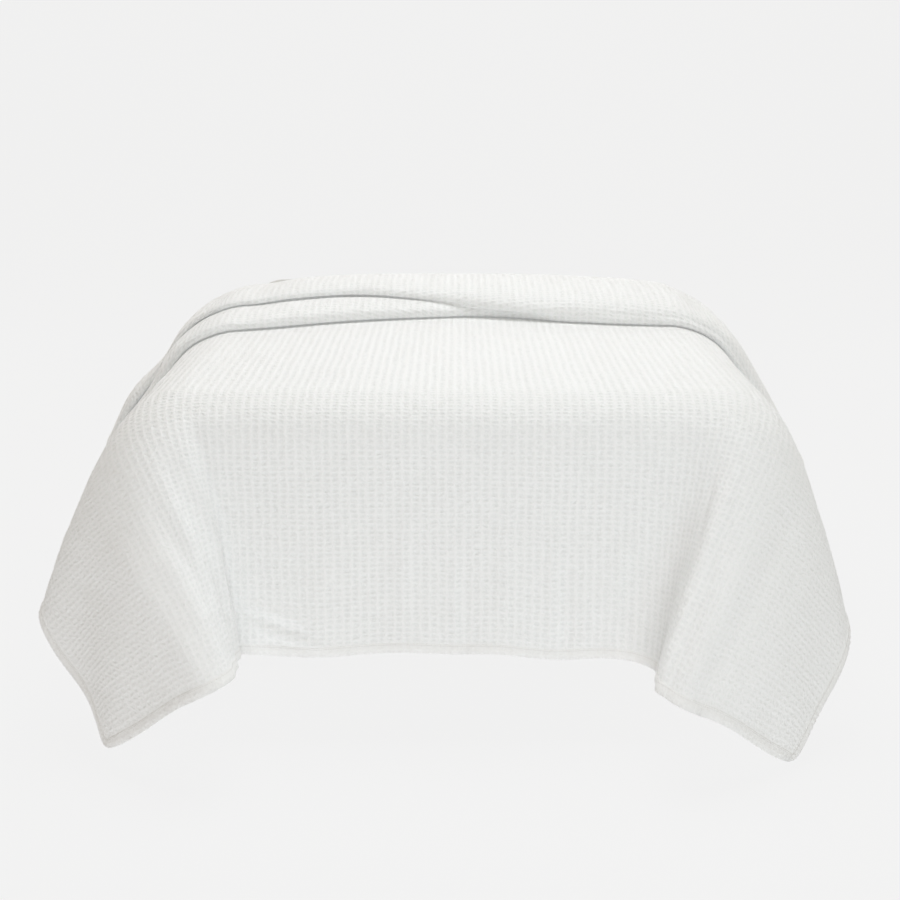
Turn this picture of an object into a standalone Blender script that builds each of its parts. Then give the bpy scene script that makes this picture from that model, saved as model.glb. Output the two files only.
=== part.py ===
"""A waffle weave cotton blanket spread over a plain double bed.

The blanket is one sheet, a little longer than it is wide. It falls straight over the foot of
the bed, stands out in a soft cone at each foot corner, hangs down both sides, and is folded
back on itself near the head in a loose stack of rolls. The bed under it is plain: a mattress,
a base and five legs.

Metres, +Z up. The foot of the bed is at -Y, and X runs across it. The origin is on the floor,
in the middle of the centre leg's foot.
"""
import math

import bmesh
import bpy
import numpy as np

# ---------------------------------------------------------------- bed
MATTRESS_WIDTH = 1.37
MATTRESS_LENGTH = 1.91
MATTRESS_BOTTOM = 0.4806
MATTRESS_TOP = 0.7963
MATTRESS_EDGE = 0.11              # radius of every edge of the soft mattress
EDGE_SEGMENTS = 6
CROWN = 0.018                     # how far the top falls from its middle to its edges
CROWN_CUTS_ACROSS = (-0.48, -0.32, -0.16, 0.0, 0.16, 0.32, 0.48)
CROWN_CUTS_ALONG = (-0.72, -0.52, -0.34, -0.17, 0.0, 0.17, 0.34, 0.52, 0.72)

BASE_WIDTH = 1.30
BASE_BOTTOM = 0.2403
BASE_TOP = 0.4803
BASE_FOOT_INSET = 0.025           # the base stops this far short of the mattress at the foot
BASE_HEAD_INSET = 0.005
BASE_EDGE = 0.008

LEG_HEIGHT = 0.24
LEG_RADIUS = 0.03
LEG_FOOT_RADIUS = 0.024
LEG_SIDES = 24
# name, x, y: set well in from the foot end, as on a base with a recessed frame
LEGS = (
    ("leg_centre", 0.0, 0.0),
    ("leg_foot_left", -0.50, -0.42),
    ("leg_foot_right", 0.50, -0.42),
    ("leg_head_left", -0.50, 0.80),
    ("leg_head_right", 0.50, 0.80),
)

# ---------------------------------------------------------------- blanket
CLOTH_WIDTH = 2.44                # across the bed, hem to hem
CLOTH_THICKNESS = 0.003
REST_GAP = 0.0005                 # under the cloth where it lies on the mattress
EDGE_GAP = 0.0095                 # mid cloth to mattress where it turns over an edge
FOOT_DROP = 0.578                 # from the top of the bed down to the foot hem

HALF_WIDTH = CLOTH_WIDTH / 2
CLOTH_TOP = MATTRESS_TOP + REST_GAP + CLOTH_THICKNESS / 2
EDGE_OUT = MATTRESS_WIDTH / 2 + 0.006         # where the side would turn if it were sharp
FOOT_FACE = -(MATTRESS_LENGTH / 2 + 0.006)    # the plane in which the foot of the cloth hangs
CORNER_X = MATTRESS_WIDTH / 2 - MATTRESS_EDGE  # centre of the mattress corner, seen from above
CORNER_RUN = FOOT_DROP + MATTRESS_EDGE        # hem to that centre, along the cloth

# The hem at the foot: x, how far it stands off the bed, how far it is lifted
FOOT_HEM = (
    (-0.49, 0.000, 0.000),
    (-0.40, 0.006, -0.003),
    (-0.28, 0.012, -0.005),
    (-0.19, 0.004, 0.000),
    (-0.10, 0.012, 0.007),
    (0.00, 0.005, -0.001),
    (0.09, 0.014, 0.004),
    (0.22, 0.004, -0.015),
    (0.33, 0.014, -0.004),
    (0.40, 0.005, -0.018),
    (0.45, 0.000, -0.043),
)

# The hem round a foot corner and up the side. The run is measured along the hem from the
# cloth's own corner, less than nought along the foot. Out is the distance from the bed's
# middle line. Rows: trough at the foot, ridge, turn, flank, tip, side ridge, tuck, side waves.
# run, out, y, z
LEFT_HEM = (
    (-0.737, 0.483, -0.961, 0.220),
    (-0.625, 0.458, -1.060, 0.234),
    (-0.540, 0.443, -1.145, 0.256),
    (-0.480, 0.449, -1.192, 0.260),
    (-0.400, 0.497, -1.210, 0.237),
    (-0.300, 0.562, -1.190, 0.199),
    (-0.170, 0.640, -1.150, 0.130),
    (-0.080, 0.694, -1.110, 0.082),
    (0.000, 0.744, -1.078, 0.052),
    (0.060, 0.764, -1.045, 0.074),
    (0.130, 0.793, -1.000, 0.125),
    (0.210, 0.836, -0.960, 0.160),
    (0.290, 0.896, -0.918, 0.216),
    (0.350, 0.931, -0.886, 0.279),
    (0.420, 0.910, -0.862, 0.304),
    (0.510, 0.815, -0.850, 0.290),
    (0.600, 0.765, -0.815, 0.285),
    (0.700, 0.800, -0.750, 0.286),
    (0.850, 0.870, -0.640, 0.294),
    (1.050, 0.900, -0.475, 0.305),
    (1.250, 0.930, -0.290, 0.322),
    (1.450, 0.960, -0.090, 0.342),
    (1.650, 0.965, 0.110, 0.345),
    (1.990, 0.950, 0.450, 0.338),
)
RIGHT_HEM = (
    (-0.770, 0.450, -0.961, 0.177),
    (-0.650, 0.424, -1.050, 0.198),
    (-0.560, 0.416, -1.128, 0.219),
    (-0.490, 0.424, -1.178, 0.217),
    (-0.400, 0.470, -1.197, 0.196),
    (-0.290, 0.538, -1.180, 0.163),
    (-0.180, 0.610, -1.140, 0.102),
    (-0.080, 0.675, -1.100, 0.043),
    (0.000, 0.724, -1.072, 0.017),
    (0.060, 0.752, -1.040, 0.030),
    (0.130, 0.787, -1.000, 0.084),
    (0.210, 0.830, -0.960, 0.134),
    (0.290, 0.870, -0.920, 0.196),
    (0.350, 0.881, -0.890, 0.248),
    (0.420, 0.862, -0.866, 0.282),
    (0.510, 0.800, -0.848, 0.286),
    (0.600, 0.760, -0.805, 0.284),
    (0.700, 0.805, -0.740, 0.288),
    (0.850, 0.865, -0.630, 0.294),
    (1.050, 0.860, -0.470, 0.293),
    (1.250, 0.915, -0.285, 0.315),
    (1.450, 0.955, -0.090, 0.340),
    (1.650, 0.945, 0.110, 0.334),
    (1.990, 0.960, 0.450, 0.342),
)

LEFT_SWELL = 0.056                # how far the cone stands out between the bed and its hem
RIGHT_SWELL = 0.038
SWELL_SKEW = 0.65                 # below one, it stands out most in its upper half

# The fold stack near the head, followed from the layer on the bed to the hidden hem. Back is
# the distance from the foot of the bed, height is above the layer on the bed, and follow is
# how far a row goes with the wandering front line. On the left the cloth makes two rolls, one
# in front of the other. Past the middle the front one dies out under the other.
# left back, left height, right back, right height, follow
FOLD_STACK = (
    (1.200, 0.003, 1.200, 0.003, 0.0),
    (1.262, 0.014, 1.262, 0.014, 0.0),    # rear fold
    (1.285, 0.042, 1.285, 0.042, 0.0),
    (1.255, 0.072, 1.255, 0.072, 0.0),
    (1.190, 0.087, 1.190, 0.087, 0.0),    # crest
    (1.100, 0.093, 1.095, 0.091, 0.2),
    (1.020, 0.092, 0.990, 0.087, 0.3),
    (0.975, 0.085, 0.910, 0.076, 0.4),
    (0.953, 0.072, 0.866, 0.056, 0.4),    # front of the rear roll
    (0.956, 0.0635, 0.858, 0.043, 0.4),
    (0.972, 0.0590, 0.857, 0.038, 0.4),
    (0.990, 0.0550, 0.857, 0.034, 0.4),   # inner turn of the pleat
    (0.984, 0.0510, 0.857, 0.031, 0.4),
    (0.955, 0.0525, 0.857, 0.028, 0.5),
    (0.885, 0.0555, 0.857, 0.024, 0.8),
    (0.815, 0.0480, 0.858, 0.021, 1.0),
    (0.785, 0.0280, 0.860, 0.017, 1.0),   # front of the front roll
    (0.790, 0.0095, 0.865, 0.0095, 1.0),
    (0.815, 0.0052, 0.910, 0.0058, 1.0),
    (0.845, 0.0058, 1.010, 0.0068, 0.8),  # hidden hem
)
LEFT_FRONT = 0.80                 # the front line that the left columns were set for
RIGHT_FRONT = 0.86
# x, how far the front of the stack lies from the foot of the bed, how plump the stack is
FRONT_LINE = (
    (-1.22, 0.72, 0.70),
    (-1.07, 0.70, 0.84),
    (-0.97, 0.70, 0.64),
    (-0.88, 0.70, 0.50),
    (-0.80, 0.72, 0.58),
    (-0.72, 0.74, 0.63),
    (-0.64, 0.76, 0.66),
    (-0.55, 0.79, 0.73),
    (-0.46, 0.82, 0.90),
    (-0.28, 0.88, 1.00),
    (-0.12, 0.91, 1.00),
    (0.06, 0.93, 1.00),
    (0.16, 0.915, 1.00),
    (0.26, 0.875, 0.99),
    (0.40, 0.85, 0.95),
    (0.50, 0.848, 0.90),
    (0.58, 0.842, 0.80),
    (0.66, 0.83, 0.67),
    (0.80, 0.80, 0.60),
    (0.95, 0.775, 0.60),
    (1.22, 0.78, 0.50),
)
LAID_HEIGHT = 0.006               # layers up to this height aren't flattened by the plumpness
PLEAT_FULL = -0.34                # the pleat is whole to the left of this
PLEAT_GONE = 0.22                 # and has died out here

# ---------------------------------------------------------------- how finely the sheet is cut
DRAPE_STEP = 0.03                 # spacing of the drape that the layers follow
DRAPE_BACK = 1.42                 # the drape reaches this far from the foot of the bed
ROUNDING_PASSES = 9               # each pass softens the edges a little more
HEM_KEEPS = 0.75                  # share of the rounding that the hem is spared
SIDE_TURN = 1.2                   # radians that the cloth turns over a side edge
# start, end, pieces
ACROSS = (
    (-1.22, -0.80, 7),
    (-0.80, -0.44, 8),
    (-0.44, 0.44, 8),
    (0.44, 0.80, 8),
    (0.80, 1.22, 7),
)
UP_THE_FOOT = (
    (0.0, 0.46, 8),
    (0.46, 0.72, 6),
    (0.72, 1.76, 9),
)

# ---------------------------------------------------------------- colours
BLANKET_WHITE = (0.86, 0.87, 0.85, 1.0)
MATTRESS_WHITE = (0.80, 0.80, 0.78, 1.0)
BASE_GREY = (0.62, 0.60, 0.57, 1.0)
LEG_WOOD = (0.42, 0.31, 0.21, 1.0)


# ================================================================ helpers
def clear_objects():
    """Remove what a new file starts with."""
    for item in list(bpy.data.objects):
        bpy.data.objects.remove(item, do_unlink=True)


def make_material(name, colour, roughness, sheen=0.0):
    """A plain Principled material."""
    material = bpy.data.materials.new(name)
    material.use_nodes = True
    shader = material.node_tree.nodes["Principled BSDF"]
    shader.inputs["Base Color"].default_value = colour
    shader.inputs["Roughness"].default_value = roughness
    shader.inputs["Metallic"].default_value = 0.0
    shader.inputs["Sheen Weight"].default_value = sheen
    material.diffuse_color = colour
    return material


def add_object(name, mesh, material, collection):
    """Put a mesh in the scene as one named piece."""
    item = bpy.data.objects.new(name, mesh)
    item.data.materials.append(material)
    collection.objects.link(item)
    return item


def smooth_step(low, high, value):
    """Nought below low, one above high, and an easy curve between."""
    share = np.clip((value - low) / (high - low), 0.0, 1.0)
    return share * share * (3.0 - 2.0 * share)


def curve_through(rows, at):
    """A smooth curve through the rows of a table, whose first column is the position."""
    table = np.array(rows)
    key = table[:, 0]
    values = table[:, 1:]
    slopes = np.gradient(values, key, axis=0)
    at = np.clip(at, key[0], key[-1])
    index = np.clip(np.searchsorted(key, at, side="right") - 1, 0, len(key) - 2)
    span = key[index + 1] - key[index]
    t = (at - key[index]) / span
    start = (2 * t ** 3 - 3 * t ** 2 + 1) * values[index].T
    leave = (t ** 3 - 2 * t ** 2 + t) * span * slopes[index].T
    end = (3 * t ** 2 - 2 * t ** 3) * values[index + 1].T
    arrive = (t ** 3 - t ** 2) * span * slopes[index + 1].T
    return (start + leave + end + arrive).T


def spaced(sections):
    """Positions along the cloth, from a table of stretches and the pieces in each."""
    values = [sections[0][0]]
    for start, end, pieces in sections:
        values.extend(np.linspace(start, end, pieces + 1)[1:])
    return np.array(values)


def crowned(points):
    """Bend the top of the bed, and the cloth on it, down towards the edges."""
    across = np.clip(points[..., 0] / (MATTRESS_WIDTH / 2), -1.0, 1.0)
    along = np.clip(points[..., 1] / (MATTRESS_LENGTH / 2), -1.0, 1.0)
    share = (points[..., 2] - MATTRESS_BOTTOM) / (MATTRESS_TOP - MATTRESS_BOTTOM)
    fall = CROWN * (1.0 - (1.0 - across ** 2) * (1.0 - along ** 2))
    bent = points.copy()
    bent[..., 2] -= fall * np.clip(share, 0.0, 1.0)
    return bent


# ================================================================ the drape
def foot_point(across, up):
    """The cloth on the foot face, or on the top of the bed."""
    if up >= FOOT_DROP:
        return across, FOOT_FACE + up - FOOT_DROP, CLOTH_TOP
    stand_off, lift = curve_through(FOOT_HEM, across)
    below = 1.0 - up / FOOT_DROP
    return across, FOOT_FACE - stand_off * below, CLOTH_TOP - (FOOT_DROP - lift) * below


def corner_point(hem, outside, up):
    """The cone at a foot corner: straight lines that fan from the mattress corner to the hem."""
    reach = math.hypot(outside, CORNER_RUN - up)
    turn = math.atan2(outside, CORNER_RUN - up)
    edge = MATTRESS_EDGE / math.cos(min(turn, 0.0))
    if reach <= edge:
        return CORNER_X + outside, FOOT_FACE + up - FOOT_DROP, CLOTH_TOP
    corner_out = HALF_WIDTH - CORNER_X
    tip_turn = math.atan2(corner_out, CORNER_RUN)
    if turn <= tip_turn:
        length = CORNER_RUN / math.cos(turn)
        run = length * math.sin(turn) - corner_out
    else:
        length = corner_out / math.sin(turn)
        run = CORNER_RUN - length * math.cos(turn)
    share = (reach - edge) / (length - edge)
    start = np.array((
        CORNER_X + edge * math.sin(turn),
        FOOT_FACE + MATTRESS_EDGE - edge * math.cos(turn),
        CLOTH_TOP,
    ))
    most = LEFT_SWELL if hem is LEFT_HEM else RIGHT_SWELL
    swell = most * smooth_step(0.0, tip_turn, turn) * math.sin(math.pi * share ** SWELL_SKEW)
    outward = np.array((math.sin(turn), -math.cos(turn), 0.0))
    return tuple(start + share * (curve_through(hem, run) - start) + swell * outward)


def side_point(hem, out, up):
    """The cloth on the top near a side edge, or hanging down that side."""
    along = FOOT_FACE + up - FOOT_DROP
    if out <= EDGE_OUT:
        return out, along, CLOTH_TOP
    share = (out - EDGE_OUT) / (HALF_WIDTH - EDGE_OUT)
    start = np.array((EDGE_OUT, along, CLOTH_TOP))
    return tuple(start + share * (curve_through(hem, up) - start))


def sharp_point(across, up):
    """Where a point of the cloth lies before its edges are rounded."""
    hem = LEFT_HEM if across < 0 else RIGHT_HEM
    out = abs(across)
    fold_starts = CORNER_X - (CORNER_X - hem[0][1]) * (1.0 - up / CORNER_RUN)
    if up >= CORNER_RUN:
        x, y, z = side_point(hem, out, up)
    elif out > fold_starts:
        x, y, z = corner_point(hem, out - CORNER_X, up)
    else:
        return foot_point(across, up)
    return math.copysign(x, across), y, z


def clear_of_mattress(points):
    """Push points out of the mattress, by its gap to the cloth."""
    half = np.array((
        MATTRESS_WIDTH / 2,
        MATTRESS_LENGTH / 2,
        (MATTRESS_TOP - MATTRESS_BOTTOM) / 2,
    ))
    centre = np.array((0.0, 0.0, (MATTRESS_TOP + MATTRESS_BOTTOM) / 2))
    inside = np.abs(points - centre) - (half - MATTRESS_EDGE)
    beyond = np.maximum(inside, 0.0)
    length = np.linalg.norm(beyond, axis=-1, keepdims=True)
    length = np.maximum(length, 1e-9)
    outward = beyond / length * np.sign(points - centre)
    rest = CLOTH_TOP - MATTRESS_TOP
    past_edge = inside[..., :2].max(axis=-1, keepdims=True)
    gap = rest + (EDGE_GAP - rest) * smooth_step(-0.03, 0.05, past_edge)
    short = np.maximum(MATTRESS_EDGE + gap - length, 0.0)
    near = (inside.max(axis=-1, keepdims=True) > 0.0)
    return points + outward * short * near


def draped_sheet():
    """The single layer that lies on the bed and hangs from it, as a grid of points."""
    across = np.linspace(-HALF_WIDTH, HALF_WIDTH, 1 + round(CLOTH_WIDTH / DRAPE_STEP))
    length = FOOT_DROP + DRAPE_BACK
    up = np.linspace(0.0, length, 1 + round(length / DRAPE_STEP))
    points = np.array([[sharp_point(a, b) for a in across] for b in up])
    to_hem = np.minimum(up[:, None], (HALF_WIDTH - np.abs(across))[None, :])
    amount = 1.0 - HEM_KEEPS * (1.0 - smooth_step(0.0, 0.40, to_hem))
    amount = amount[..., None]
    for _ in range(ROUNDING_PASSES):
        wide = np.pad(points, ((1, 1), (1, 1), (0, 0)), mode="reflect", reflect_type="odd")
        mean = (wide[:-2, 1:-1] + wide[2:, 1:-1] + wide[1:-1, :-2] + wide[1:-1, 2:]) / 4
        points = points + amount * (mean - points)
        points = clear_of_mattress(points)
    return across, up, points


def sample(grid, at_row, at_column):
    """Read a grid of points between its rows and columns, smoothly."""
    rows, columns = grid.shape[:2]
    total = 0.0
    row = np.clip(np.floor(at_row).astype(int), 0, rows - 2)
    column = np.clip(np.floor(at_column).astype(int), 0, columns - 2)
    row_weights = cubic_weights(at_row - row)
    column_weights = cubic_weights(at_column - column)
    for i in range(4):
        for j in range(4):
            r = np.clip(row + i - 1, 0, rows - 1)
            c = np.clip(column + j - 1, 0, columns - 1)
            total = total + (row_weights[i] * column_weights[j])[..., None] * grid[r, c]
    return total


def cubic_weights(t):
    """Shares of four neighbouring points, for a curve that passes through the inner two."""
    return (
        -0.5 * t + t ** 2 - 0.5 * t ** 3,
        1.0 - 2.5 * t ** 2 + 1.5 * t ** 3,
        0.5 * t + 2.0 * t ** 2 - 1.5 * t ** 3,
        -0.5 * t ** 2 + 0.5 * t ** 3,
    )


# ================================================================ the folded sheet
def stack_path(across):
    """The fold stack at one place across the bed: distance from the foot, and height."""
    table = np.array(FOLD_STACK)
    pleat = 1.0 - smooth_step(PLEAT_FULL, PLEAT_GONE, across)
    front, plumpness = curve_through(FRONT_LINE, across)
    built_for = pleat * LEFT_FRONT + (1.0 - pleat) * RIGHT_FRONT
    back = pleat * table[:, 0] + (1.0 - pleat) * table[:, 2]
    height = pleat * table[:, 1] + (1.0 - pleat) * table[:, 3]
    raised = LAID_HEIGHT + (height - LAID_HEIGHT) * plumpness
    height = np.where(height > LAID_HEIGHT, raised, height)
    return back + table[:, 4] * (front - built_for), height


def blanket_points():
    """Every point of the folded sheet, hem at the foot first."""
    drape_across, drape_up, drape = draped_sheet()
    along_u = np.gradient(drape, axis=1)
    along_v = np.gradient(drape, axis=0)
    normal = np.cross(along_u, along_v)
    normal /= np.linalg.norm(normal, axis=-1, keepdims=True)

    columns = spaced(ACROSS)
    plain_rows = spaced(UP_THE_FOOT)
    paths = [stack_path(a) for a in columns]
    stack_back = np.array([back for back, _ in paths]).T
    stack_height = np.array([height for _, height in paths]).T
    up = np.vstack((
        np.repeat(plain_rows[:, None], len(columns), axis=1),
        stack_back + FOOT_DROP,
    ))
    height = np.vstack((np.zeros((len(plain_rows), len(columns))), stack_height))

    # An outer layer has farther to go round the side edge, so it hangs less far down.
    turned = SIDE_TURN * smooth_step(CORNER_X, CORNER_X + 0.19, np.abs(columns))
    out = np.abs(columns) - height * turned
    at_column = (np.sign(columns) * out + HALF_WIDTH) / (drape_across[1] - drape_across[0])
    at_row = up / (drape_up[1] - drape_up[0])
    surface = sample(drape, at_row, at_column)
    lean = sample(normal, at_row, at_column)
    lean /= np.linalg.norm(lean, axis=-1, keepdims=True)
    return crowned(surface + lean * height[..., None])


def split_towards_corners(sheet):
    """Split each face of a flat grid along the diagonal that runs to its own foot corner."""
    for face in sheet.faces[:]:
        middle = sum(vertex.co.x for vertex in face.verts) / 4
        facing = 1.0 if middle < 0 else -1.0
        order = sorted(face.verts, key=lambda vertex: facing * vertex.co.x + vertex.co.y)
        bmesh.utils.face_split(face, order[0], order[-1])


def build_blanket(collection):
    """The sheet as a grid of points, thickened by Solidify."""
    points = blanket_points()
    rows, columns = points.shape[:2]
    mesh = bpy.data.meshes.new("blanket")
    sheet = bmesh.new()
    bmesh.ops.create_grid(sheet, x_segments=columns - 1, y_segments=rows - 1, size=0.5)
    split_towards_corners(sheet)
    for vertex in sheet.verts:
        column = round((vertex.co.x + 0.5) * (columns - 1))
        row = round((vertex.co.y + 0.5) * (rows - 1))
        vertex.co = points[row, column]
    sheet.to_mesh(mesh)
    sheet.free()
    material = make_material("blanket_cotton", BLANKET_WHITE, 0.9, sheen=0.3)
    blanket = add_object("blanket", mesh, material, collection)
    mesh.shade_smooth()
    thick = blanket.modifiers.new("thickness", "SOLIDIFY")
    thick.thickness = CLOTH_THICKNESS
    thick.offset = 0.0
    return blanket


# ================================================================ the bed
def build_mattress(collection):
    """A box with round edges and a slightly crowned top."""
    size = (MATTRESS_WIDTH, MATTRESS_LENGTH, MATTRESS_TOP - MATTRESS_BOTTOM)
    mesh = bpy.data.meshes.new("mattress")
    box = bmesh.new()
    bmesh.ops.create_cube(box, size=1.0)
    bmesh.ops.scale(box, vec=size, verts=box.verts)
    bmesh.ops.bevel(
        box,
        geom=box.edges[:],
        offset=MATTRESS_EDGE,
        segments=EDGE_SEGMENTS,
        profile=0.5,
        affect="EDGES",
    )
    bmesh.ops.translate(box, vec=(0, 0, (MATTRESS_TOP + MATTRESS_BOTTOM) / 2), verts=box.verts)
    for cuts, direction in ((CROWN_CUTS_ACROSS, (1, 0, 0)), (CROWN_CUTS_ALONG, (0, 1, 0))):
        for place in cuts:
            geometry = box.verts[:] + box.edges[:] + box.faces[:]
            point = tuple(place * value for value in direction)
            bmesh.ops.bisect_plane(box, geom=geometry, plane_co=point, plane_no=direction)
    for vertex in box.verts:
        vertex.co = crowned(np.array(vertex.co))
    bmesh.ops.triangulate(box, faces=box.faces[:])
    box.to_mesh(mesh)
    box.free()
    mesh.shade_smooth()
    material = make_material("mattress_cover", MATTRESS_WHITE, 0.85)
    return add_object("mattress", mesh, material, collection)


def build_base(collection):
    """The plain box that the mattress lies on."""
    low = (-BASE_WIDTH / 2, -MATTRESS_LENGTH / 2 + BASE_FOOT_INSET, BASE_BOTTOM)
    high = (BASE_WIDTH / 2, MATTRESS_LENGTH / 2 - BASE_HEAD_INSET, BASE_TOP)
    mesh = bpy.data.meshes.new("bed_base")
    box = bmesh.new()
    bmesh.ops.create_cube(box, size=1.0)
    bmesh.ops.scale(box, vec=tuple(h - l for l, h in zip(low, high)), verts=box.verts)
    box.to_mesh(mesh)
    box.free()
    material = make_material("base_cover", BASE_GREY, 0.8)
    base = add_object("bed_base", mesh, material, collection)
    base.location = tuple((l + h) / 2 for l, h in zip(low, high))
    bevel = base.modifiers.new("rounded_edges", "BEVEL")
    bevel.width = BASE_EDGE
    bevel.segments = 2
    bevel.limit_method = "NONE"
    mesh.shade_smooth()
    return base


def build_legs(collection):
    """Five turned legs, a little narrower at the floor."""
    material = make_material("leg_wood", LEG_WOOD, 0.55)
    mesh = bpy.data.meshes.new("leg")
    leg = bmesh.new()
    bmesh.ops.create_cone(
        leg,
        cap_ends=True,
        segments=LEG_SIDES,
        radius1=LEG_FOOT_RADIUS,
        radius2=LEG_RADIUS,
        depth=LEG_HEIGHT,
    )
    leg.to_mesh(mesh)
    leg.free()
    mesh.materials.append(material)
    mesh.shade_smooth()
    mesh.set_sharp_from_angle(angle=math.radians(40.0))
    for name, x, y in LEGS:
        item = bpy.data.objects.new(name, mesh)
        item.location = (x, y, LEG_HEIGHT / 2)
        collection.objects.link(item)


def main():
    """Build the whole part."""
    clear_objects()
    collection = bpy.data.collections.new("waffle_blanket_on_bed")
    bpy.context.scene.collection.children.link(collection)
    build_legs(collection)
    build_base(collection)
    build_mattress(collection)
    build_blanket(collection)


main()
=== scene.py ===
"""Looks of a waffle weave cotton blanket spread over a plain double bed.

The cloth is one sheet, given by two lengths measured along it: across, from its middle line,
and along, from the hem at the foot. The same drape as in the solids carries it. Half a cell of
the weave lies between one vertex and the next, so the cells are real hollows, and the shader
adds the yarns. The hem band, its stitches, the mattress and its seams are pieces of their own.
"""

import math

import bmesh
import bpy
import numpy as np
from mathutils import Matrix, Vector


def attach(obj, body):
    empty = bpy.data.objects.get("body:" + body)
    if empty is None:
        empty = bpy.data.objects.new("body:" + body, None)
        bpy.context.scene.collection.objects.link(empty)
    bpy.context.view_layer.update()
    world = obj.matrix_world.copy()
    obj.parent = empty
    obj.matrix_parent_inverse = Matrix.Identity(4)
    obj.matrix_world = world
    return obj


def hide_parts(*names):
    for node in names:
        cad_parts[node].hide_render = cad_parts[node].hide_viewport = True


# ---------------------------------------------------------------- bed, as in the solids
MATTRESS_WIDTH = 1.37
MATTRESS_LENGTH = 1.91
MATTRESS_BOTTOM = 0.4806
MATTRESS_TOP = 0.7963
MATTRESS_EDGE = 0.11
CROWN = 0.018                     # how far the top falls from its middle to its edges
BASE_WIDTH = 1.30
BASE_BOTTOM = 0.2403
BASE_TOP = 0.4803
BASE_FOOT_INSET = 0.025
BASE_HEAD_INSET = 0.005

# ---------------------------------------------------------------- drape, as in the solids
CLOTH_WIDTH = 2.44
CLOTH_THICKNESS = 0.003
REST_GAP = 0.0005                 # under the cloth where it lies on the mattress
SHARP_GAP = 0.006                 # mid cloth to mattress at its sides, before the rounding
EDGE_GAP = 0.0095                 # and where it turns over an edge, after it
EDGE_GAP_RUN = (-0.03, 0.05)      # past the mattress's flat top, where that gap opens
FOOT_DROP = 0.578                 # from the top of the bed down to the foot hem

HALF_WIDTH = CLOTH_WIDTH / 2
CLOTH_TOP = MATTRESS_TOP + REST_GAP + CLOTH_THICKNESS / 2
EDGE_OUT = MATTRESS_WIDTH / 2 + SHARP_GAP         # where the side would turn if it were sharp
FOOT_FACE = -(MATTRESS_LENGTH / 2 + SHARP_GAP)    # the plane in which the foot of the cloth hangs
CORNER_X = MATTRESS_WIDTH / 2 - MATTRESS_EDGE
CORNER_RUN = FOOT_DROP + MATTRESS_EDGE

# The hem at the foot: x, how far it stands off the bed, how far it is lifted
FOOT_HEM = (
    (-0.49, 0.000, 0.000),
    (-0.40, 0.006, -0.003),
    (-0.28, 0.012, -0.005),
    (-0.19, 0.004, 0.000),
    (-0.10, 0.012, 0.007),
    (0.00, 0.005, -0.001),
    (0.09, 0.014, 0.004),
    (0.22, 0.004, -0.015),
    (0.33, 0.014, -0.004),
    (0.40, 0.005, -0.018),
    (0.45, 0.000, -0.043),
)

# The hem round a foot corner and up the side. The run is measured along the hem from the
# cloth's own corner, less than nought along the foot. Out is the distance from the bed's
# middle line. Rows: trough at the foot, ridge, turn, flank, tip, side ridge, tuck, side waves.
# run, out, y, z
LEFT_HEM = (
    (-0.737, 0.483, -0.961, 0.220),
    (-0.625, 0.458, -1.060, 0.234),
    (-0.540, 0.443, -1.145, 0.256),
    (-0.480, 0.449, -1.192, 0.260),
    (-0.400, 0.497, -1.210, 0.237),
    (-0.300, 0.562, -1.190, 0.199),
    (-0.170, 0.640, -1.150, 0.130),
    (-0.080, 0.694, -1.110, 0.082),
    (0.000, 0.744, -1.078, 0.052),
    (0.060, 0.764, -1.045, 0.074),
    (0.130, 0.793, -1.000, 0.125),
    (0.210, 0.836, -0.960, 0.160),
    (0.290, 0.896, -0.918, 0.216),
    (0.350, 0.931, -0.886, 0.279),
    (0.420, 0.910, -0.862, 0.304),
    (0.510, 0.815, -0.850, 0.290),
    (0.600, 0.765, -0.815, 0.285),
    (0.700, 0.800, -0.750, 0.286),
    (0.850, 0.870, -0.640, 0.294),
    (1.050, 0.900, -0.475, 0.305),
    (1.250, 0.930, -0.290, 0.322),
    (1.450, 0.960, -0.090, 0.342),
    (1.650, 0.965, 0.110, 0.345),
    (1.990, 0.950, 0.450, 0.338),
)
RIGHT_HEM = (
    (-0.770, 0.450, -0.961, 0.177),
    (-0.650, 0.424, -1.050, 0.198),
    (-0.560, 0.416, -1.128, 0.219),
    (-0.490, 0.424, -1.178, 0.217),
    (-0.400, 0.470, -1.197, 0.196),
    (-0.290, 0.538, -1.180, 0.163),
    (-0.180, 0.610, -1.140, 0.102),
    (-0.080, 0.675, -1.100, 0.043),
    (0.000, 0.724, -1.072, 0.017),
    (0.060, 0.752, -1.040, 0.030),
    (0.130, 0.787, -1.000, 0.084),
    (0.210, 0.830, -0.960, 0.134),
    (0.290, 0.870, -0.920, 0.196),
    (0.350, 0.881, -0.890, 0.248),
    (0.420, 0.862, -0.866, 0.282),
    (0.510, 0.800, -0.848, 0.286),
    (0.600, 0.760, -0.805, 0.284),
    (0.700, 0.805, -0.740, 0.288),
    (0.850, 0.865, -0.630, 0.294),
    (1.050, 0.860, -0.470, 0.293),
    (1.250, 0.915, -0.285, 0.315),
    (1.450, 0.955, -0.090, 0.340),
    (1.650, 0.945, 0.110, 0.334),
    (1.990, 0.960, 0.450, 0.342),
)

LEFT_SWELL = 0.056                # how far the cone stands out between the bed and its hem
RIGHT_SWELL = 0.038
SWELL_SKEW = 0.65                 # below one, it stands out most in its upper half

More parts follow.
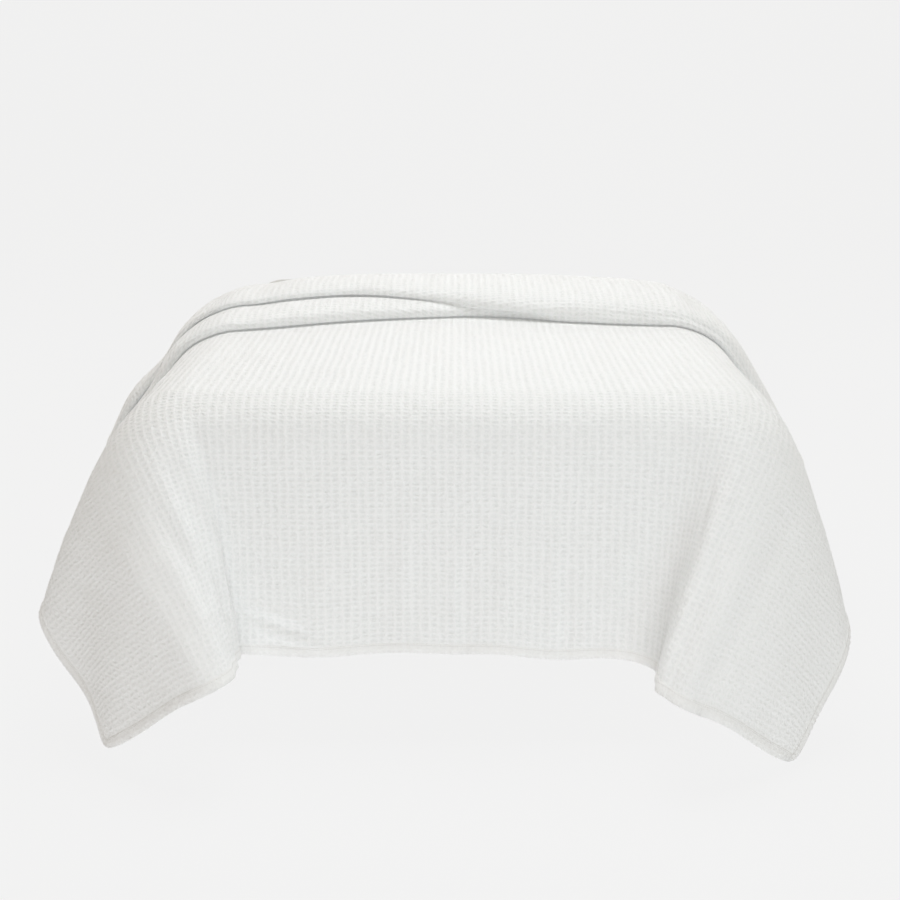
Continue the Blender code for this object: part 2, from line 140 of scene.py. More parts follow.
# The fold stack near the head, followed from the layer on the bed to the hidden hem. Back is
# the distance from the foot of the bed, height is above the layer on the bed, and follow is
# how far a row goes with the wandering front line. On the left the cloth makes two rolls, one
# in front of the other. Past the middle the front one dies out under the other.
# left back, left height, right back, right height, follow
FOLD_STACK = (
    (1.200, 0.003, 1.200, 0.003, 0.0),
    (1.262, 0.014, 1.262, 0.014, 0.0),    # rear fold
    (1.285, 0.042, 1.285, 0.042, 0.0),
    (1.255, 0.072, 1.255, 0.072, 0.0),
    (1.190, 0.087, 1.190, 0.087, 0.0),    # crest
    (1.100, 0.093, 1.095, 0.091, 0.2),
    (1.020, 0.092, 0.990, 0.087, 0.3),
    (0.975, 0.085, 0.910, 0.076, 0.4),
    (0.953, 0.072, 0.866, 0.056, 0.4),    # front of the rear roll
    (0.956, 0.0635, 0.858, 0.043, 0.4),
    (0.972, 0.0590, 0.857, 0.038, 0.4),
    (0.990, 0.0550, 0.857, 0.034, 0.4),   # inner turn of the pleat
    (0.984, 0.0510, 0.857, 0.031, 0.4),
    (0.955, 0.0525, 0.857, 0.028, 0.5),
    (0.885, 0.0555, 0.857, 0.024, 0.8),
    (0.815, 0.0480, 0.858, 0.021, 1.0),
    (0.785, 0.0280, 0.860, 0.017, 1.0),   # front of the front roll
    (0.790, 0.0095, 0.865, 0.0095, 1.0),
    (0.815, 0.0052, 0.910, 0.0058, 1.0),
    (0.845, 0.0058, 1.010, 0.0068, 0.8),  # hidden hem
)
LEFT_FRONT = 0.80                 # the front line that the left columns were set for
RIGHT_FRONT = 0.86
# x, how far the front of the stack lies from the foot of the bed, how plump the stack is
FRONT_LINE = (
    (-1.22, 0.72, 0.70),
    (-1.07, 0.70, 0.84),
    (-0.97, 0.70, 0.64),
    (-0.88, 0.70, 0.50),
    (-0.80, 0.72, 0.58),
    (-0.72, 0.74, 0.63),
    (-0.64, 0.76, 0.66),
    (-0.55, 0.79, 0.73),
    (-0.46, 0.82, 0.90),
    (-0.28, 0.88, 1.00),
    (-0.12, 0.91, 1.00),
    (0.06, 0.93, 1.00),
    (0.16, 0.915, 1.00),
    (0.26, 0.875, 0.99),
    (0.40, 0.85, 0.95),
    (0.50, 0.848, 0.90),
    (0.58, 0.842, 0.80),
    (0.66, 0.83, 0.67),
    (0.80, 0.80, 0.60),
    (0.95, 0.775, 0.60),
    (1.22, 0.78, 0.50),
)
LAID_HEIGHT = 0.006               # layers up to this height aren't flattened by the plumpness
PLEAT_FULL = -0.34                # the pleat is whole to the left of this
PLEAT_GONE = 0.22                 # and has died out here

DRAPE_STEP = 0.03                 # spacing of the drape that the layers follow
DRAPE_BACK = 1.42                 # the drape reaches this far from the foot of the bed
ROUNDING_PASSES = 9               # each pass softens the edges a little more
HEM_KEEPS = 0.75                  # share of the rounding that the hem is spared
HEM_KEEPS_TO = 0.40               # that share dies out this far in
SIDE_TURN = 1.2                   # radians that the cloth turns over a side edge
SIDE_TURN_RUN = 0.19              # length of cloth in which it does so

# ---------------------------------------------------------------- cloth, as it is shown
CLOTH_LENGTH = 2.58               # along, hem to hem
CELL_ACROSS = 0.0186              # one cell of the weave
CELL_ALONG = 0.0125
CELL_DEPTH = 0.0015               # ridge top to the floor of a cell
RIDGE_SHARE = 0.32                # how much of that depth stands above the middle of the cloth
DEPTH_CHANGE = 0.12               # share by which the depth comes and goes
DEPTH_CHANGE_SIZE = 0.02
DEPTH_CHANGE_SEED = 13
WANDER = 0.0013                   # how far the ridges stray from straight lines
WANDER_SIZE = 0.06
WANDER_SEEDS = (11, 12)
CORNER_PULL = 0.40                # share of the depth that the weight of a corner pulls out
PULLED_ACROSS = (0.60, 0.85)      # from the middle line, where that pull sets in
PULLED_ALONG = (0.50, 0.75)       # from the foot hem, where it dies out
LIFT_OFF = 1.76                   # along the cloth, where it starts to rise into the folds
TURNED_OVER = (1.84, 1.93)        # and where its other face comes to the outside
HIDDEN = (1.515, 1.795)           # this much lies flat under the folds
HIDDEN_STRIDE = 8                 # one row in so many is kept there
HEM_RUNS_ON = 0.25                # the hidden end can reach this much farther back
# The folded part gives a little, so that the far hem lies under the rolls everywhere.
# across, length of that strip from hem to hem
STRIP_LENGTHS = (
    (-1.22, 2.62),
    (-1.00, 2.65),
    (-0.80, 2.60),
    (-0.50, 2.54),
    (-0.25, 2.50),
    (0.00, 2.49),
    (0.20, 2.50),
    (0.40, 2.51),
    (0.80, 2.54),
    (1.22, 2.56),
)
PATH_SAMPLES = 700
SURFACE_ACROSS = 0.010            # spacing of the smooth surface that everything is set on
SURFACE_ALONG = 0.005

# Small waves all over the cloth: size, height where it lies, height where it hangs, seed
WAVES = (
    (0.11, 0.0006, 0.0016, 3),
    (0.045, 0.0006, 0.0008, 4),
)
NOISE_MARGIN = 1.5                # steps of random heights before the cloth's edge
NOISE_SPARE = 5                   # steps beyond its size, both margins together
HANGS = (0.02, 0.16)              # past the bed's edge, where lying turns into hanging
COVERED = (-0.05, 0.01)           # past the front of the rolls, where their weight sets in
TUCKED = (2.38, 2.50)             # along the cloth, where its end comes to lie under them
PRESSED_FLAT = 0.88               # share of the waves that lying under them takes away
ROLLED_FLAT = 0.40                # share that being rolled takes away

HEM_WIDTH = 0.024
HEM_THICKNESS = 0.0040
HEM_WEAVE = 0.6                   # how much of the weave's depth is left in the pressed band
HEM_CORNER = 0.028                # radius of the cloth's own corners
HEM_STEP = 0.0048
HEM_ARC_PIECES = 10
SHEET_INSET = 0.012               # the woven sheet ends inside the hem band
WEAVE_STARTS = (-0.003, 0.006)    # past the hem's inner edge
SEWN_FLAT = (0.017, 0.021)        # distance in, where the stitching presses the weave flat
SEWN_WEAVE = 0.2                  # share of the band's weave that is left there
# distance in from the edge, share of half the thickness, share of the gathers
HEM_SECTION = (
    (0.0240, 0.30, 0.00),
    (0.0222, 0.62, 0.05),
    (0.0206, 0.50, 0.00),
    (0.0188, 0.90, 0.25),
    (0.0130, 1.05, 0.70),
    (0.0070, 1.00, 0.90),
    (0.0018, 0.80, 1.00),
    (0.0000, 0.00, 1.00),
)

# The gathers that the stitching draws into the band. Sines that run round the hem make them
# uneven: size, times round, start.
GATHER_PITCH = 0.0112
GATHER_SWAYS = ((2.3, 41, 0.0), (1.7, 97, 1.0))
GATHER_STRENGTH = 0.65
GATHER_CHANGE = (0.35, 61, 2.0)
GATHER_SWELL = 0.22               # share by which they thicken the band
GATHER_LIFT = 0.0011              # how far they lift it

STITCH_PITCH = 0.0052
STITCH_LENGTH = 0.0040
STITCH_THICKNESS = 0.0011
STITCH_LINE = 0.0206              # distance in from the edge
STITCH_LIFT = 0.0015              # from the middle of the cloth to the middle of a stitch
STITCH_SIDES = 6
STITCH_RINGS = 3

CREASE_FADE = 0.35                # share of its length in which a crease comes, and goes
# Soft ridges and troughs, each along a straight line on the cloth.
# across, along, across, along, half width, height
CREASES = (
    # ripples down the foot
    (-0.118, 0.02, -0.105, 0.36, 0.016, 0.0050),
    (-0.085, 0.02, -0.078, 0.26, 0.014, -0.0034),
    (0.000, -0.03, -0.006, 0.30, 0.014, 0.0052),
    (0.024, -0.03, 0.016, 0.26, 0.013, -0.0045),
    (0.102, 0.02, 0.112, 0.40, 0.017, 0.0040),
    (0.214, -0.03, 0.205, 0.33, 0.015, 0.0055),
    (0.242, -0.03, 0.232, 0.27, 0.013, -0.0048),
    (-0.300, 0.00, -0.285, 0.24, 0.018, 0.0036),
    (0.340, 0.00, 0.352, 0.30, 0.020, 0.0040),
    # short drags where the left corner pulls on the hem
    (-0.500, 0.105, -0.270, 0.034, 0.010, -0.0060),
    (-0.490, 0.132, -0.310, 0.078, 0.011, 0.0058),
    (-0.450, 0.066, -0.240, 0.010, 0.010, 0.0058),
    # the left corner, from the foot outwards: crease, pale fold, hollow, fold, hollow
    (-0.566, 0.640, -0.450, -0.140, 0.014, -0.0085),
    (-0.600, 0.560, -0.512, -0.140, 0.021, 0.0140),
    (-0.660, 0.540, -0.568, -0.120, 0.016, -0.0075),
    (-0.735, 0.460, -0.640, -0.100, 0.034, -0.0125),
    (-0.860, 0.440, -0.800, -0.080, 0.036, 0.0085),
    (-0.975, 0.460, -0.960, -0.060, 0.036, -0.0060),
    # and the right one
    (0.560, 0.540, 0.676, -0.160, 0.011, -0.0100),
    (0.590, 0.520, 0.700, -0.160, 0.012, 0.0070),
    (0.628, 0.520, 0.728, -0.160, 0.021, 0.0175),
    (0.845, 0.520, 0.855, -0.060, 0.034, -0.0095),
    (0.765, 0.400, 0.800, -0.080, 0.028, 0.0035),
    (0.960, 0.500, 0.985, -0.060, 0.036, 0.0045),
)

QUILT_PITCH = 0.17                # sewn channels of the mattress top
QUILT_DEPTH = 0.0035
QUILT_SOFTNESS = 0.10
QUILT_BORDER = 0.05               # plain border round the channels
QUILT_FADE = 0.03                 # in which they set in
MATTRESS_PIECES = (96, 142, 8)    # faces across, along and up its flat stretches
MATTRESS_EDGE_PIECES = 9          # and in half of each round edge
JOIN_DISTANCE = 0.0002            # vertices as near as this become one
PIPING_RADIUS = 0.0040
PIPING_STEP = 0.02
PIPING_SIDES = 8
PIPING_ARC_PIECES = 12
BASE_CORNER = 0.008
BASE_SEAM = 0.020                 # from the upper or lower edge of the base to its piping
BASE_PIPING_RADIUS = 0.0032

# ---------------------------------------------------------------- finishes
NOISE_MIDDLE = (0.35, 0.65)       # most values of a noise lie between these
NOISE_WIDE = (0.30, 0.70)
SWAY = 0.009                      # how far the shader lets the ridges wander
SWAY_SCALE = 55.0
BLOTCH_SCALE = 75.0               # cells grow deeper and shallower at this scale
WALL_STEEPNESS = 1.3              # above one, the cells are smaller and the ridges wider
BUMP_DEPTH = 0.0017               # what the shader adds to the real depth of the cells
YARN_DEPTH = 0.00020
RUCK_DEPTH = 0.0020               # small uneven rucks, closer together across the cloth
RUCK_STRETCH = (230.0, 170.0, 1.0)
# the rucks push the painted shade of the cells up and down by this much
RUCK_SHADE = 0.40
COTTON_YARN = (0.0013, 0.012)     # yarn pitch, slub size
SLUB_SHADE = 0.10
COTTON_ROUGHNESS = (0.84, 0.95)   # on a ridge, in a cell
COTTON_SHEEN = 0.15
WORN_SCALE = 3.0                  # broad patches of duller ridges
CLOTH_GLOSS = 0.25
# ridge, ridge where it is a little duller, cell: greyer than the ridge as painted shade in the
# hollows, and the tone that slubs darken to
COTTON_COLOURS = ((0.93, 0.935, 0.93, 1.0), (0.915, 0.92, 0.915, 1.0), (0.835, 0.845, 0.84, 1.0))
HEM_COLOURS = ((0.915, 0.915, 0.905, 1.0), (0.90, 0.90, 0.89, 1.0), (0.85, 0.85, 0.84, 1.0))
COTTON_PAINTED_GLOW = 0.095             # painted glow: the cotton gives off a little light of its own everywhere, standing in for light that thin cotton passes into its folds
# the thread on its strands, and the darker colour painted as shade in the grooves between them
THREAD_LIGHT = (0.90, 0.90, 0.89, 1.0)
THREAD_DARK = (0.74, 0.73, 0.71, 1.0)
# Each plain cloth: two tones, and a darker colour painted between the yarns as shade.
MATTRESS_COLOURS = ((0.80, 0.80, 0.78, 1.0), (0.76, 0.76, 0.74, 1.0), (0.62, 0.62, 0.60, 1.0))
PIPING_COLOURS = ((0.78, 0.77, 0.74, 1.0), (0.74, 0.73, 0.70, 1.0), (0.60, 0.59, 0.56, 1.0))
BASE_COLOURS = ((0.60, 0.58, 0.55, 1.0), (0.53, 0.51, 0.48, 1.0), (0.36, 0.34, 0.32, 1.0))
EDGING_COLOURS = ((0.54, 0.52, 0.49, 1.0), (0.48, 0.46, 0.43, 1.0), (0.34, 0.32, 0.30, 1.0))
# name: colours, yarn pitch, slub size, yarn depth, roughness
WOVEN_FINISHES = {
    "knitted_cover": (MATTRESS_COLOURS, 0.0022, 0.03, 0.00035, 0.85),
    "piping_cotton": (PIPING_COLOURS, 0.0014, 0.01, 0.00020, 0.80),
    "base_linen": (BASE_COLOURS, 0.0026, 0.02, 0.00045, 0.85),
    "base_edging": (EDGING_COLOURS, 0.0016, 0.01, 0.00025, 0.80),
}
WOVEN_SHEEN = 0.1
CLOUD_SCALE = 4.0                 # broad faint patches in the plain cloths
CLOUD_SHARE = 0.6                 # their share of the colour's change, the slubs having the rest
GAP_SHADE = 0.35                  # painted shade: how far the gaps between the yarns are darkened towards the third colour
ROUGHNESS_CHANGE = 0.05
WOOD_LIGHT = (0.47, 0.33, 0.21, 1.0)
WOOD_DARK = (0.34, 0.22, 0.13, 1.0)
WOOD_PORE = (0.16, 0.10, 0.06, 1.0)
GRAIN_STRETCH = (60.0, 60.0, 5.0)
PORE_STRETCH = (900.0, 900.0, 60.0)
PORES = (0.62, 0.75)              # values of the noise at which a pore begins and is whole
PORE_SHADE = 0.6
PORE_DEPTH = 0.0002
# the leg is coloured darker over this height above the floor, and by this much at the floor
DARKER_UP_TO = 0.03
FLOOR_DARKENING = 0.5
WOOD_ROUGHNESS = (0.42, 0.58)
STRAND_SCALE = 700.0              # twisted strands of the sewing cotton
STRAND_DEPTH = 0.0001
THREAD_ROUGHNESS = (0.75, 0.60)

# ---------------------------------------------------------------- studio
CAMERA_PLACE = (0.0, -3.6835, 1.4246)
CAMERA_DOWN = 15.3                # degrees below the horizon
CAMERA_LENS = 54.0
CAMERA_SHIFT = -5.0 / 900.0       # the photo's middle lies five of its 900 columns aside
STUDIO_REACH = 9.0                # half the floor's width, and how far it comes forward
STUDIO_BACK = 4.0                 # where it starts to bend up
STUDIO_BEND = 2.5                 # radius of that bend
STUDIO_BEND_PIECES = 16
STUDIO_HEIGHT = 9.0
STUDIO_DROP = 0.001               # the paper lies this far under the legs
PAPER_DIFFUSE = (0.05, 0.05, 0.05, 1.0)
PAPER_GLOW = (0.85, 0.85, 0.85, 1.0)
WORLD_COLOUR = (0.24, 0.20, 0.15, 1.0)
WORLD_SEEN = (0.87, 0.87, 0.87, 1.0)
# name, place, aimed at, size, power, colour
LAMPS = (
    ("top_lamp", (0.2, -0.4, 4.4), (0.0, -0.4, 0.6), (3.0, 3.0), 72.0, (1.0, 1.0, 1.015)),
    ("near_top_lamp", (0.1, -0.7, 2.9), (0.0, -0.7, 0.6), (1.8, 1.4), 13.5, (0.90, 1.0, 1.08)),
    ("low_front_lamp", (0.2, -4.4, 0.7), (0.0, -0.95, 0.5), (2.0, 0.8), 30.0, (0.965, 1.0, 1.05)),
    ("right_lamp", (2.6, -4.2, 1.8), (0.0, -0.8, 0.5), (1.6, 1.4), 12.5, (0.8, 1.04, 1.13)),
    ("back_left_lamp", (-4.4, 2.8, 1.7), (0.0, 0.3, 0.5), (2.2, 1.8), 30.0, (1.0, 1.0, 1.0)),
    ("back_right_lamp", (4.4, 2.8, 1.7), (0.0, 0.3, 0.5), (2.2, 1.8), 33.0, (1.0, 1.0, 1.0)),
)


# ================================================================ shape helpers
def smooth_step(low, high, value):
    """Nought below low, one above high, and an easy curve between."""
    share = np.clip((value - low) / (high - low), 0.0, 1.0)
    return share * share * (3.0 - 2.0 * share)


def curve_through(rows, at):
    """A smooth curve through the rows of a table, whose first column is the position."""
    table = np.array(rows)
    key = table[:, 0]
    values = table[:, 1:]
    slopes = np.gradient(values, key, axis=0)
    at = np.clip(at, key[0], key[-1])
    index = np.clip(np.searchsorted(key, at, side="right") - 1, 0, len(key) - 2)
    span = key[index + 1] - key[index]
    t = (at - key[index]) / span
    start = (2 * t ** 3 - 3 * t ** 2 + 1) * values[index].T
    leave = (t ** 3 - 2 * t ** 2 + t) * span * slopes[index].T
    end = (3 * t ** 2 - 2 * t ** 3) * values[index + 1].T
    arrive = (t ** 3 - t ** 2) * span * slopes[index + 1].T
    return (start + leave + end + arrive).T


def unit(vectors):
    """The same directions, each one long."""
    return vectors / np.linalg.norm(vectors, axis=-1, keepdims=True)


def spaced(start, end, step):
    """Even positions from start to end, about a step apart."""
    return np.linspace(start, end, 1 + round((end - start) / step))


def running_total(steps):
    """Nought, the first step, the first two together, and so on."""
    return np.concatenate(([0.0], np.cumsum(steps)))


def crowned(points):
    """Bend the top of the bed, and the cloth on it, down towards the edges."""
    across = np.clip(points[..., 0] / (MATTRESS_WIDTH / 2), -1.0, 1.0)
    along = np.clip(points[..., 1] / (MATTRESS_LENGTH / 2), -1.0, 1.0)
    share = (points[..., 2] - MATTRESS_BOTTOM) / (MATTRESS_TOP - MATTRESS_BOTTOM)
    fall = CROWN * (1.0 - (1.0 - across ** 2) * (1.0 - along ** 2))
    bent = points.copy()
    bent[..., 2] -= fall * np.clip(share, 0.0, 1.0)
    return bent


# ================================================================ the drape
def foot_point(across, up):
    """The cloth on the foot face, or on the top of the bed."""
    if up >= FOOT_DROP:
        return across, FOOT_FACE + up - FOOT_DROP, CLOTH_TOP
    stand_off, lift = curve_through(FOOT_HEM, across)
    below = 1.0 - up / FOOT_DROP
    return across, FOOT_FACE - stand_off * below, CLOTH_TOP - (FOOT_DROP - lift) * below


def corner_point(hem, outside, up):
    """The cone at a foot corner: straight lines that fan from the mattress corner to the hem."""
    reach = math.hypot(outside, CORNER_RUN - up)
    turn = math.atan2(outside, CORNER_RUN - up)
    edge = MATTRESS_EDGE / math.cos(min(turn, 0.0))
    if reach <= edge:
        return CORNER_X + outside, FOOT_FACE + up - FOOT_DROP, CLOTH_TOP
    corner_out = HALF_WIDTH - CORNER_X
    tip_turn = math.atan2(corner_out, CORNER_RUN)
    if turn <= tip_turn:
        length = CORNER_RUN / math.cos(turn)
        run = length * math.sin(turn) - corner_out
    else:
        length = corner_out / math.sin(turn)
        run = CORNER_RUN - length * math.cos(turn)
    share = (reach - edge) / (length - edge)
    start = np.array((
        CORNER_X + edge * math.sin(turn),
        FOOT_FACE + MATTRESS_EDGE - edge * math.cos(turn),
        CLOTH_TOP,
    ))
    most = LEFT_SWELL if hem is LEFT_HEM else RIGHT_SWELL
    swell = most * smooth_step(0.0, tip_turn, turn) * math.sin(math.pi * share ** SWELL_SKEW)
    outward = np.array((math.sin(turn), -math.cos(turn), 0.0))
    return tuple(start + share * (curve_through(hem, run) - start) + swell * outward)


def side_point(hem, out, up):
    """The cloth on the top near a side edge, or hanging down that side."""
    along = FOOT_FACE + up - FOOT_DROP
    if out <= EDGE_OUT:
        return out, along, CLOTH_TOP
    share = (out - EDGE_OUT) / (HALF_WIDTH - EDGE_OUT)
    start = np.array((EDGE_OUT, along, CLOTH_TOP))
    return tuple(start + share * (curve_through(hem, up) - start))


def sharp_point(across, up):
    """Where a point of the cloth lies before its edges are rounded."""
    hem = LEFT_HEM if across < 0 else RIGHT_HEM
    out = abs(across)
    fold_starts = CORNER_X - (CORNER_X - hem[0][1]) * (1.0 - up / CORNER_RUN)
    if up >= CORNER_RUN:
        x, y, z = side_point(hem, out, up)
    elif out > fold_starts:
        x, y, z = corner_point(hem, out - CORNER_X, up)
    else:
        return foot_point(across, up)
    return math.copysign(x, across), y, z


def clear_of_mattress(points):
    """Push points out of the mattress, by its gap to the cloth."""
    half = np.array((
        MATTRESS_WIDTH / 2,
        MATTRESS_LENGTH / 2,
        (MATTRESS_TOP - MATTRESS_BOTTOM) / 2,
    ))
    centre = np.array((0.0, 0.0, (MATTRESS_TOP + MATTRESS_BOTTOM) / 2))
    inside = np.abs(points - centre) - (half - MATTRESS_EDGE)
    beyond = np.maximum(inside, 0.0)
    length = np.maximum(np.linalg.norm(beyond, axis=-1, keepdims=True), 1e-9)
    outward = beyond / length * np.sign(points - centre)
    rest = CLOTH_TOP - MATTRESS_TOP
    past_edge = inside[..., :2].max(axis=-1, keepdims=True)
    gap = rest + (EDGE_GAP - rest) * smooth_step(*EDGE_GAP_RUN, past_edge)
    short = np.maximum(MATTRESS_EDGE + gap - length, 0.0)
    near = (inside.max(axis=-1, keepdims=True) > 0.0)
    return points + outward * short * near


def draped_sheet():
    """The single layer that lies on the bed and hangs from it, as a grid of points."""
    across = spaced(-HALF_WIDTH, HALF_WIDTH, DRAPE_STEP)
    up = spaced(0.0, FOOT_DROP + DRAPE_BACK, DRAPE_STEP)
    points = np.array([[sharp_point(a, b) for a in across] for b in up])
    to_hem = np.minimum(up[:, None], (HALF_WIDTH - np.abs(across))[None, :])
    amount = 1.0 - HEM_KEEPS * (1.0 - smooth_step(0.0, HEM_KEEPS_TO, to_hem))
    amount = amount[..., None]
    for _ in range(ROUNDING_PASSES):
        wide = np.pad(points, ((1, 1), (1, 1), (0, 0)), mode="reflect", reflect_type="odd")
        mean = (wide[:-2, 1:-1] + wide[2:, 1:-1] + wide[1:-1, :-2] + wide[1:-1, 2:]) / 4
        points = points + amount * (mean - points)
        points = clear_of_mattress(points)
    return across, up, points


def cubic_weights(t):
    """Shares of four neighbouring points, for a curve that passes through the inner two."""
    return (
        -0.5 * t + t ** 2 - 0.5 * t ** 3,
        1.0 - 2.5 * t ** 2 + 1.5 * t ** 3,
        0.5 * t + 2.0 * t ** 2 - 1.5 * t ** 3,
        -0.5 * t ** 2 + 0.5 * t ** 3,
    )


def sample(grid, at_row, at_column):
    """Read a grid of points between its rows and columns, smoothly."""
    rows, columns = grid.shape[:2]
    total = 0.0
    row = np.clip(np.floor(at_row).astype(int), 0, rows - 2)
    column = np.clip(np.floor(at_column).astype(int), 0, columns - 2)
    row_weights = cubic_weights(at_row - row)
    column_weights = cubic_weights(at_column - column)
    for i in range(4):
        for j in range(4):
            r = np.clip(row + i - 1, 0, rows - 1)
            c = np.clip(column + j - 1, 0, columns - 1)
            total = total + (row_weights[i] * column_weights[j])[..., None] * grid[r, c]
    return total


def stack_path(across):
    """The fold stack at one place across the bed: distance from the foot, and height."""
    table = np.array(FOLD_STACK)
    pleat = 1.0 - smooth_step(PLEAT_FULL, PLEAT_GONE, across)
    front, plumpness = curve_through(FRONT_LINE, across)
    built_for = pleat * LEFT_FRONT + (1.0 - pleat) * RIGHT_FRONT
    back = pleat * table[:, 0] + (1.0 - pleat) * table[:, 2]
    height = pleat * table[:, 1] + (1.0 - pleat) * table[:, 3]
    raised = LAID_HEIGHT + (height - LAID_HEIGHT) * plumpness
    height = np.where(height > LAID_HEIGHT, raised, height)
    return back + table[:, 4] * (front - built_for), height


# ================================================================ the folded cloth
def folded_path(across, along):
    """Distance up the drape, and height above it, all along one strip of the cloth."""
    back, height = stack_path(across)
    back = np.concatenate(([LIFT_OFF - FOOT_DROP], back, [back[-1] + HEM_RUNS_ON]))
    height = np.concatenate(([0.0], height, [height[-1]]))
    chord = running_total(np.hypot(np.diff(back), np.diff(height)))
    fine = np.linspace(0.0, chord[-1], PATH_SAMPLES)
    curve = curve_through(np.column_stack((chord, back, height)), fine)
    run = running_total(np.hypot(*np.diff(curve, axis=0).T))
    give = (curve_through(STRIP_LENGTHS, across)[0] - LIFT_OFF) / (CLOTH_LENGTH - LIFT_OFF)
    beyond = (along - LIFT_OFF) * give
    folded = np.interp(beyond, run, curve[:, 0]) + FOOT_DROP
    raised = np.interp(beyond, run, curve[:, 1])
    flat = along < LIFT_OFF
    return np.where(flat, along, folded), np.where(flat, 0.0, raised)


def unit_normals(points):
    """Which way a grid of points faces."""
    return unit(np.cross(np.gradient(points, axis=1), np.gradient(points, axis=0)))


def folded_surface():
    """The whole cloth without its weave, as a fine grid of points."""
    drape_across, drape_up, drape = draped_sheet()
    normal = unit_normals(drape)
    across = spaced(-HALF_WIDTH, HALF_WIDTH, SURFACE_ACROSS)
    along = spaced(0.0, CLOTH_LENGTH, SURFACE_ALONG)
    paths = np.array([folded_path(a, along) for a in across])
    up = paths[:, 0].T
    height = paths[:, 1].T
    turned = SIDE_TURN * smooth_step(CORNER_X, CORNER_X + SIDE_TURN_RUN, np.abs(across))
    out = np.abs(across) - height * turned
    at_column = (np.sign(across) * out + HALF_WIDTH) / (drape_across[1] - drape_across[0])
    at_row = up / (drape_up[1] - drape_up[0])
    surface = sample(drape, at_row, at_column)
    lean = unit(sample(normal, at_row, at_column))
    return crowned(surface + lean * height[..., None])


def soft_noise(across, along, size, seed):
    """Smooth random heights between about -1 and 1, a given size apart on the cloth."""
    maker = np.random.default_rng(seed)
    columns = NOISE_SPARE + math.ceil(CLOTH_WIDTH / size)
    rows = NOISE_SPARE + math.ceil(CLOTH_LENGTH / size)
    heights = maker.uniform(-1.0, 1.0, (rows, columns, 1))
    at_column = (across + HALF_WIDTH) / size + NOISE_MARGIN
    at_row = along / size + NOISE_MARGIN
    return sample(heights, at_row, at_column)[..., 0]


def crease_heights(across, along):
    """The sum of all the soft ridges and troughs of the table."""
    total = np.zeros(np.shape(across))
    for x0, y0, x1, y1, half_width, height in CREASES:
        length = math.hypot(x1 - x0, y1 - y0)
        ahead = np.array((x1 - x0, y1 - y0)) / length
        reach = (across - x0) * ahead[0] + (along - y0) * ahead[1]
        aside = (along - y0) * ahead[0] - (across - x0) * ahead[1]
        fade = CREASE_FADE * length
        ends = smooth_step(0.0, fade, reach) * smooth_step(0.0, fade, length - reach)
        total += height * ends * np.exp(-(aside / half_width) ** 2)
    return total


def shown_side(along):
    """One where the upper face of the cloth is outside, minus one where it is turned over."""
    return 1.0 - 2.0 * smooth_step(*TURNED_OVER, along)


def looseness(across, along):
    """One where the cloth lies free, less where one layer presses on another."""
    front = curve_through(FRONT_LINE, across[0])[:, 0] + FOOT_DROP
    covered = smooth_step(*COVERED, along - front) * (along < TURNED_OVER[0])
    pressed = PRESSED_FLAT * np.maximum(covered, smooth_step(*TUCKED, along))
    return 1.0 - np.maximum(pressed, ROLLED_FLAT * (along >= TURNED_OVER[0]))


def unevenness(across, along):
    """How far the cloth stands off its smooth drape."""
    hangs = smooth_step(*HANGS, np.maximum(FOOT_DROP - along, np.abs(across) - EDGE_OUT))
    waves = 0.0
    for size, lying, hanging, seed in WAVES:
        wave = soft_noise(across, along, size, seed)
        waves = waves + lying * (1.0 + wave) * (1.0 - hangs) + hanging * wave * hangs
    return waves * shown_side(along) * looseness(across, along) + crease_heights(across, along)


class Cloth:
    """The folded cloth as a surface that can be read anywhere."""

    def __init__(self):
        smooth = folded_surface()
        rows, columns = smooth.shape[:2]
        across = np.linspace(-HALF_WIDTH, HALF_WIDTH, columns)
        along = np.linspace(0.0, CLOTH_LENGTH, rows)
        height = unevenness(*np.meshgrid(across, along))
        self.points = smooth + unit_normals(smooth) * height[..., None]
        self.normals = unit_normals(self.points)

    def at(self, across, along):
        """Points and normals at places given across and along the cloth."""
        at_column = (across + HALF_WIDTH) / CLOTH_WIDTH * (self.points.shape[1] - 1)
        at_row = along / CLOTH_LENGTH * (self.points.shape[0] - 1)
        points = sample(self.points, at_row, at_column)
        return points, unit(sample(self.normals, at_row, at_column))


# ================================================================ mesh helpers
def add_object(name, data):
    """Put a mesh, a lamp or a camera in the scene."""
    item = bpy.data.objects.new(name, data)
    bpy.context.scene.collection.objects.link(item)
    return item


def add_piece(name, vertices, faces, material):
    """An object at the origin, from plain arrays, in one material."""
    mesh = bpy.data.meshes.new(name)
    mesh.from_pydata(np.asarray(vertices).tolist(), [], np.asarray(faces).tolist())
    mesh.shade_smooth()
    mesh.materials.append(material)
    return add_object(name, mesh)


def add_cloth_map(mesh, across, along):
    """Give a mesh a UV map: each vertex's place on the cloth, from nought to one both ways."""
    uv = np.stack((across / CLOTH_WIDTH + 0.5, along / CLOTH_LENGTH), axis=-1).reshape(-1, 2)
    layer = mesh.uv_layers.new(name="cloth_map")
    corners = np.empty(len(mesh.loops), dtype=int)
    mesh.loops.foreach_get("vertex_index", corners)
    layer.data.foreach_set("uv", uv[corners].ravel())


def add_values(mesh, name, values):
    """Give a mesh one number for each vertex, for its material to read."""
    layer = mesh.attributes.new(name, "FLOAT", "POINT")
    layer.data.foreach_set("value", np.asarray(values, dtype=float).ravel())


def grid_faces(rows, columns, close_rows=False, close_columns=False):
    """Quads that join a grid of vertices, numbered row by row."""
    row = np.arange(rows if close_rows else rows - 1)
    column = np.arange(columns if close_columns else columns - 1)
    column, row = np.meshgrid(column, row)
    right = (column + 1) % columns
    above = (row + 1) % rows
    corners = (
        row * columns + column,
        row * columns + right,
        above * columns + right,
        above * columns + column,
    )
    return np.stack(corners, axis=-1).reshape(-1, 4)


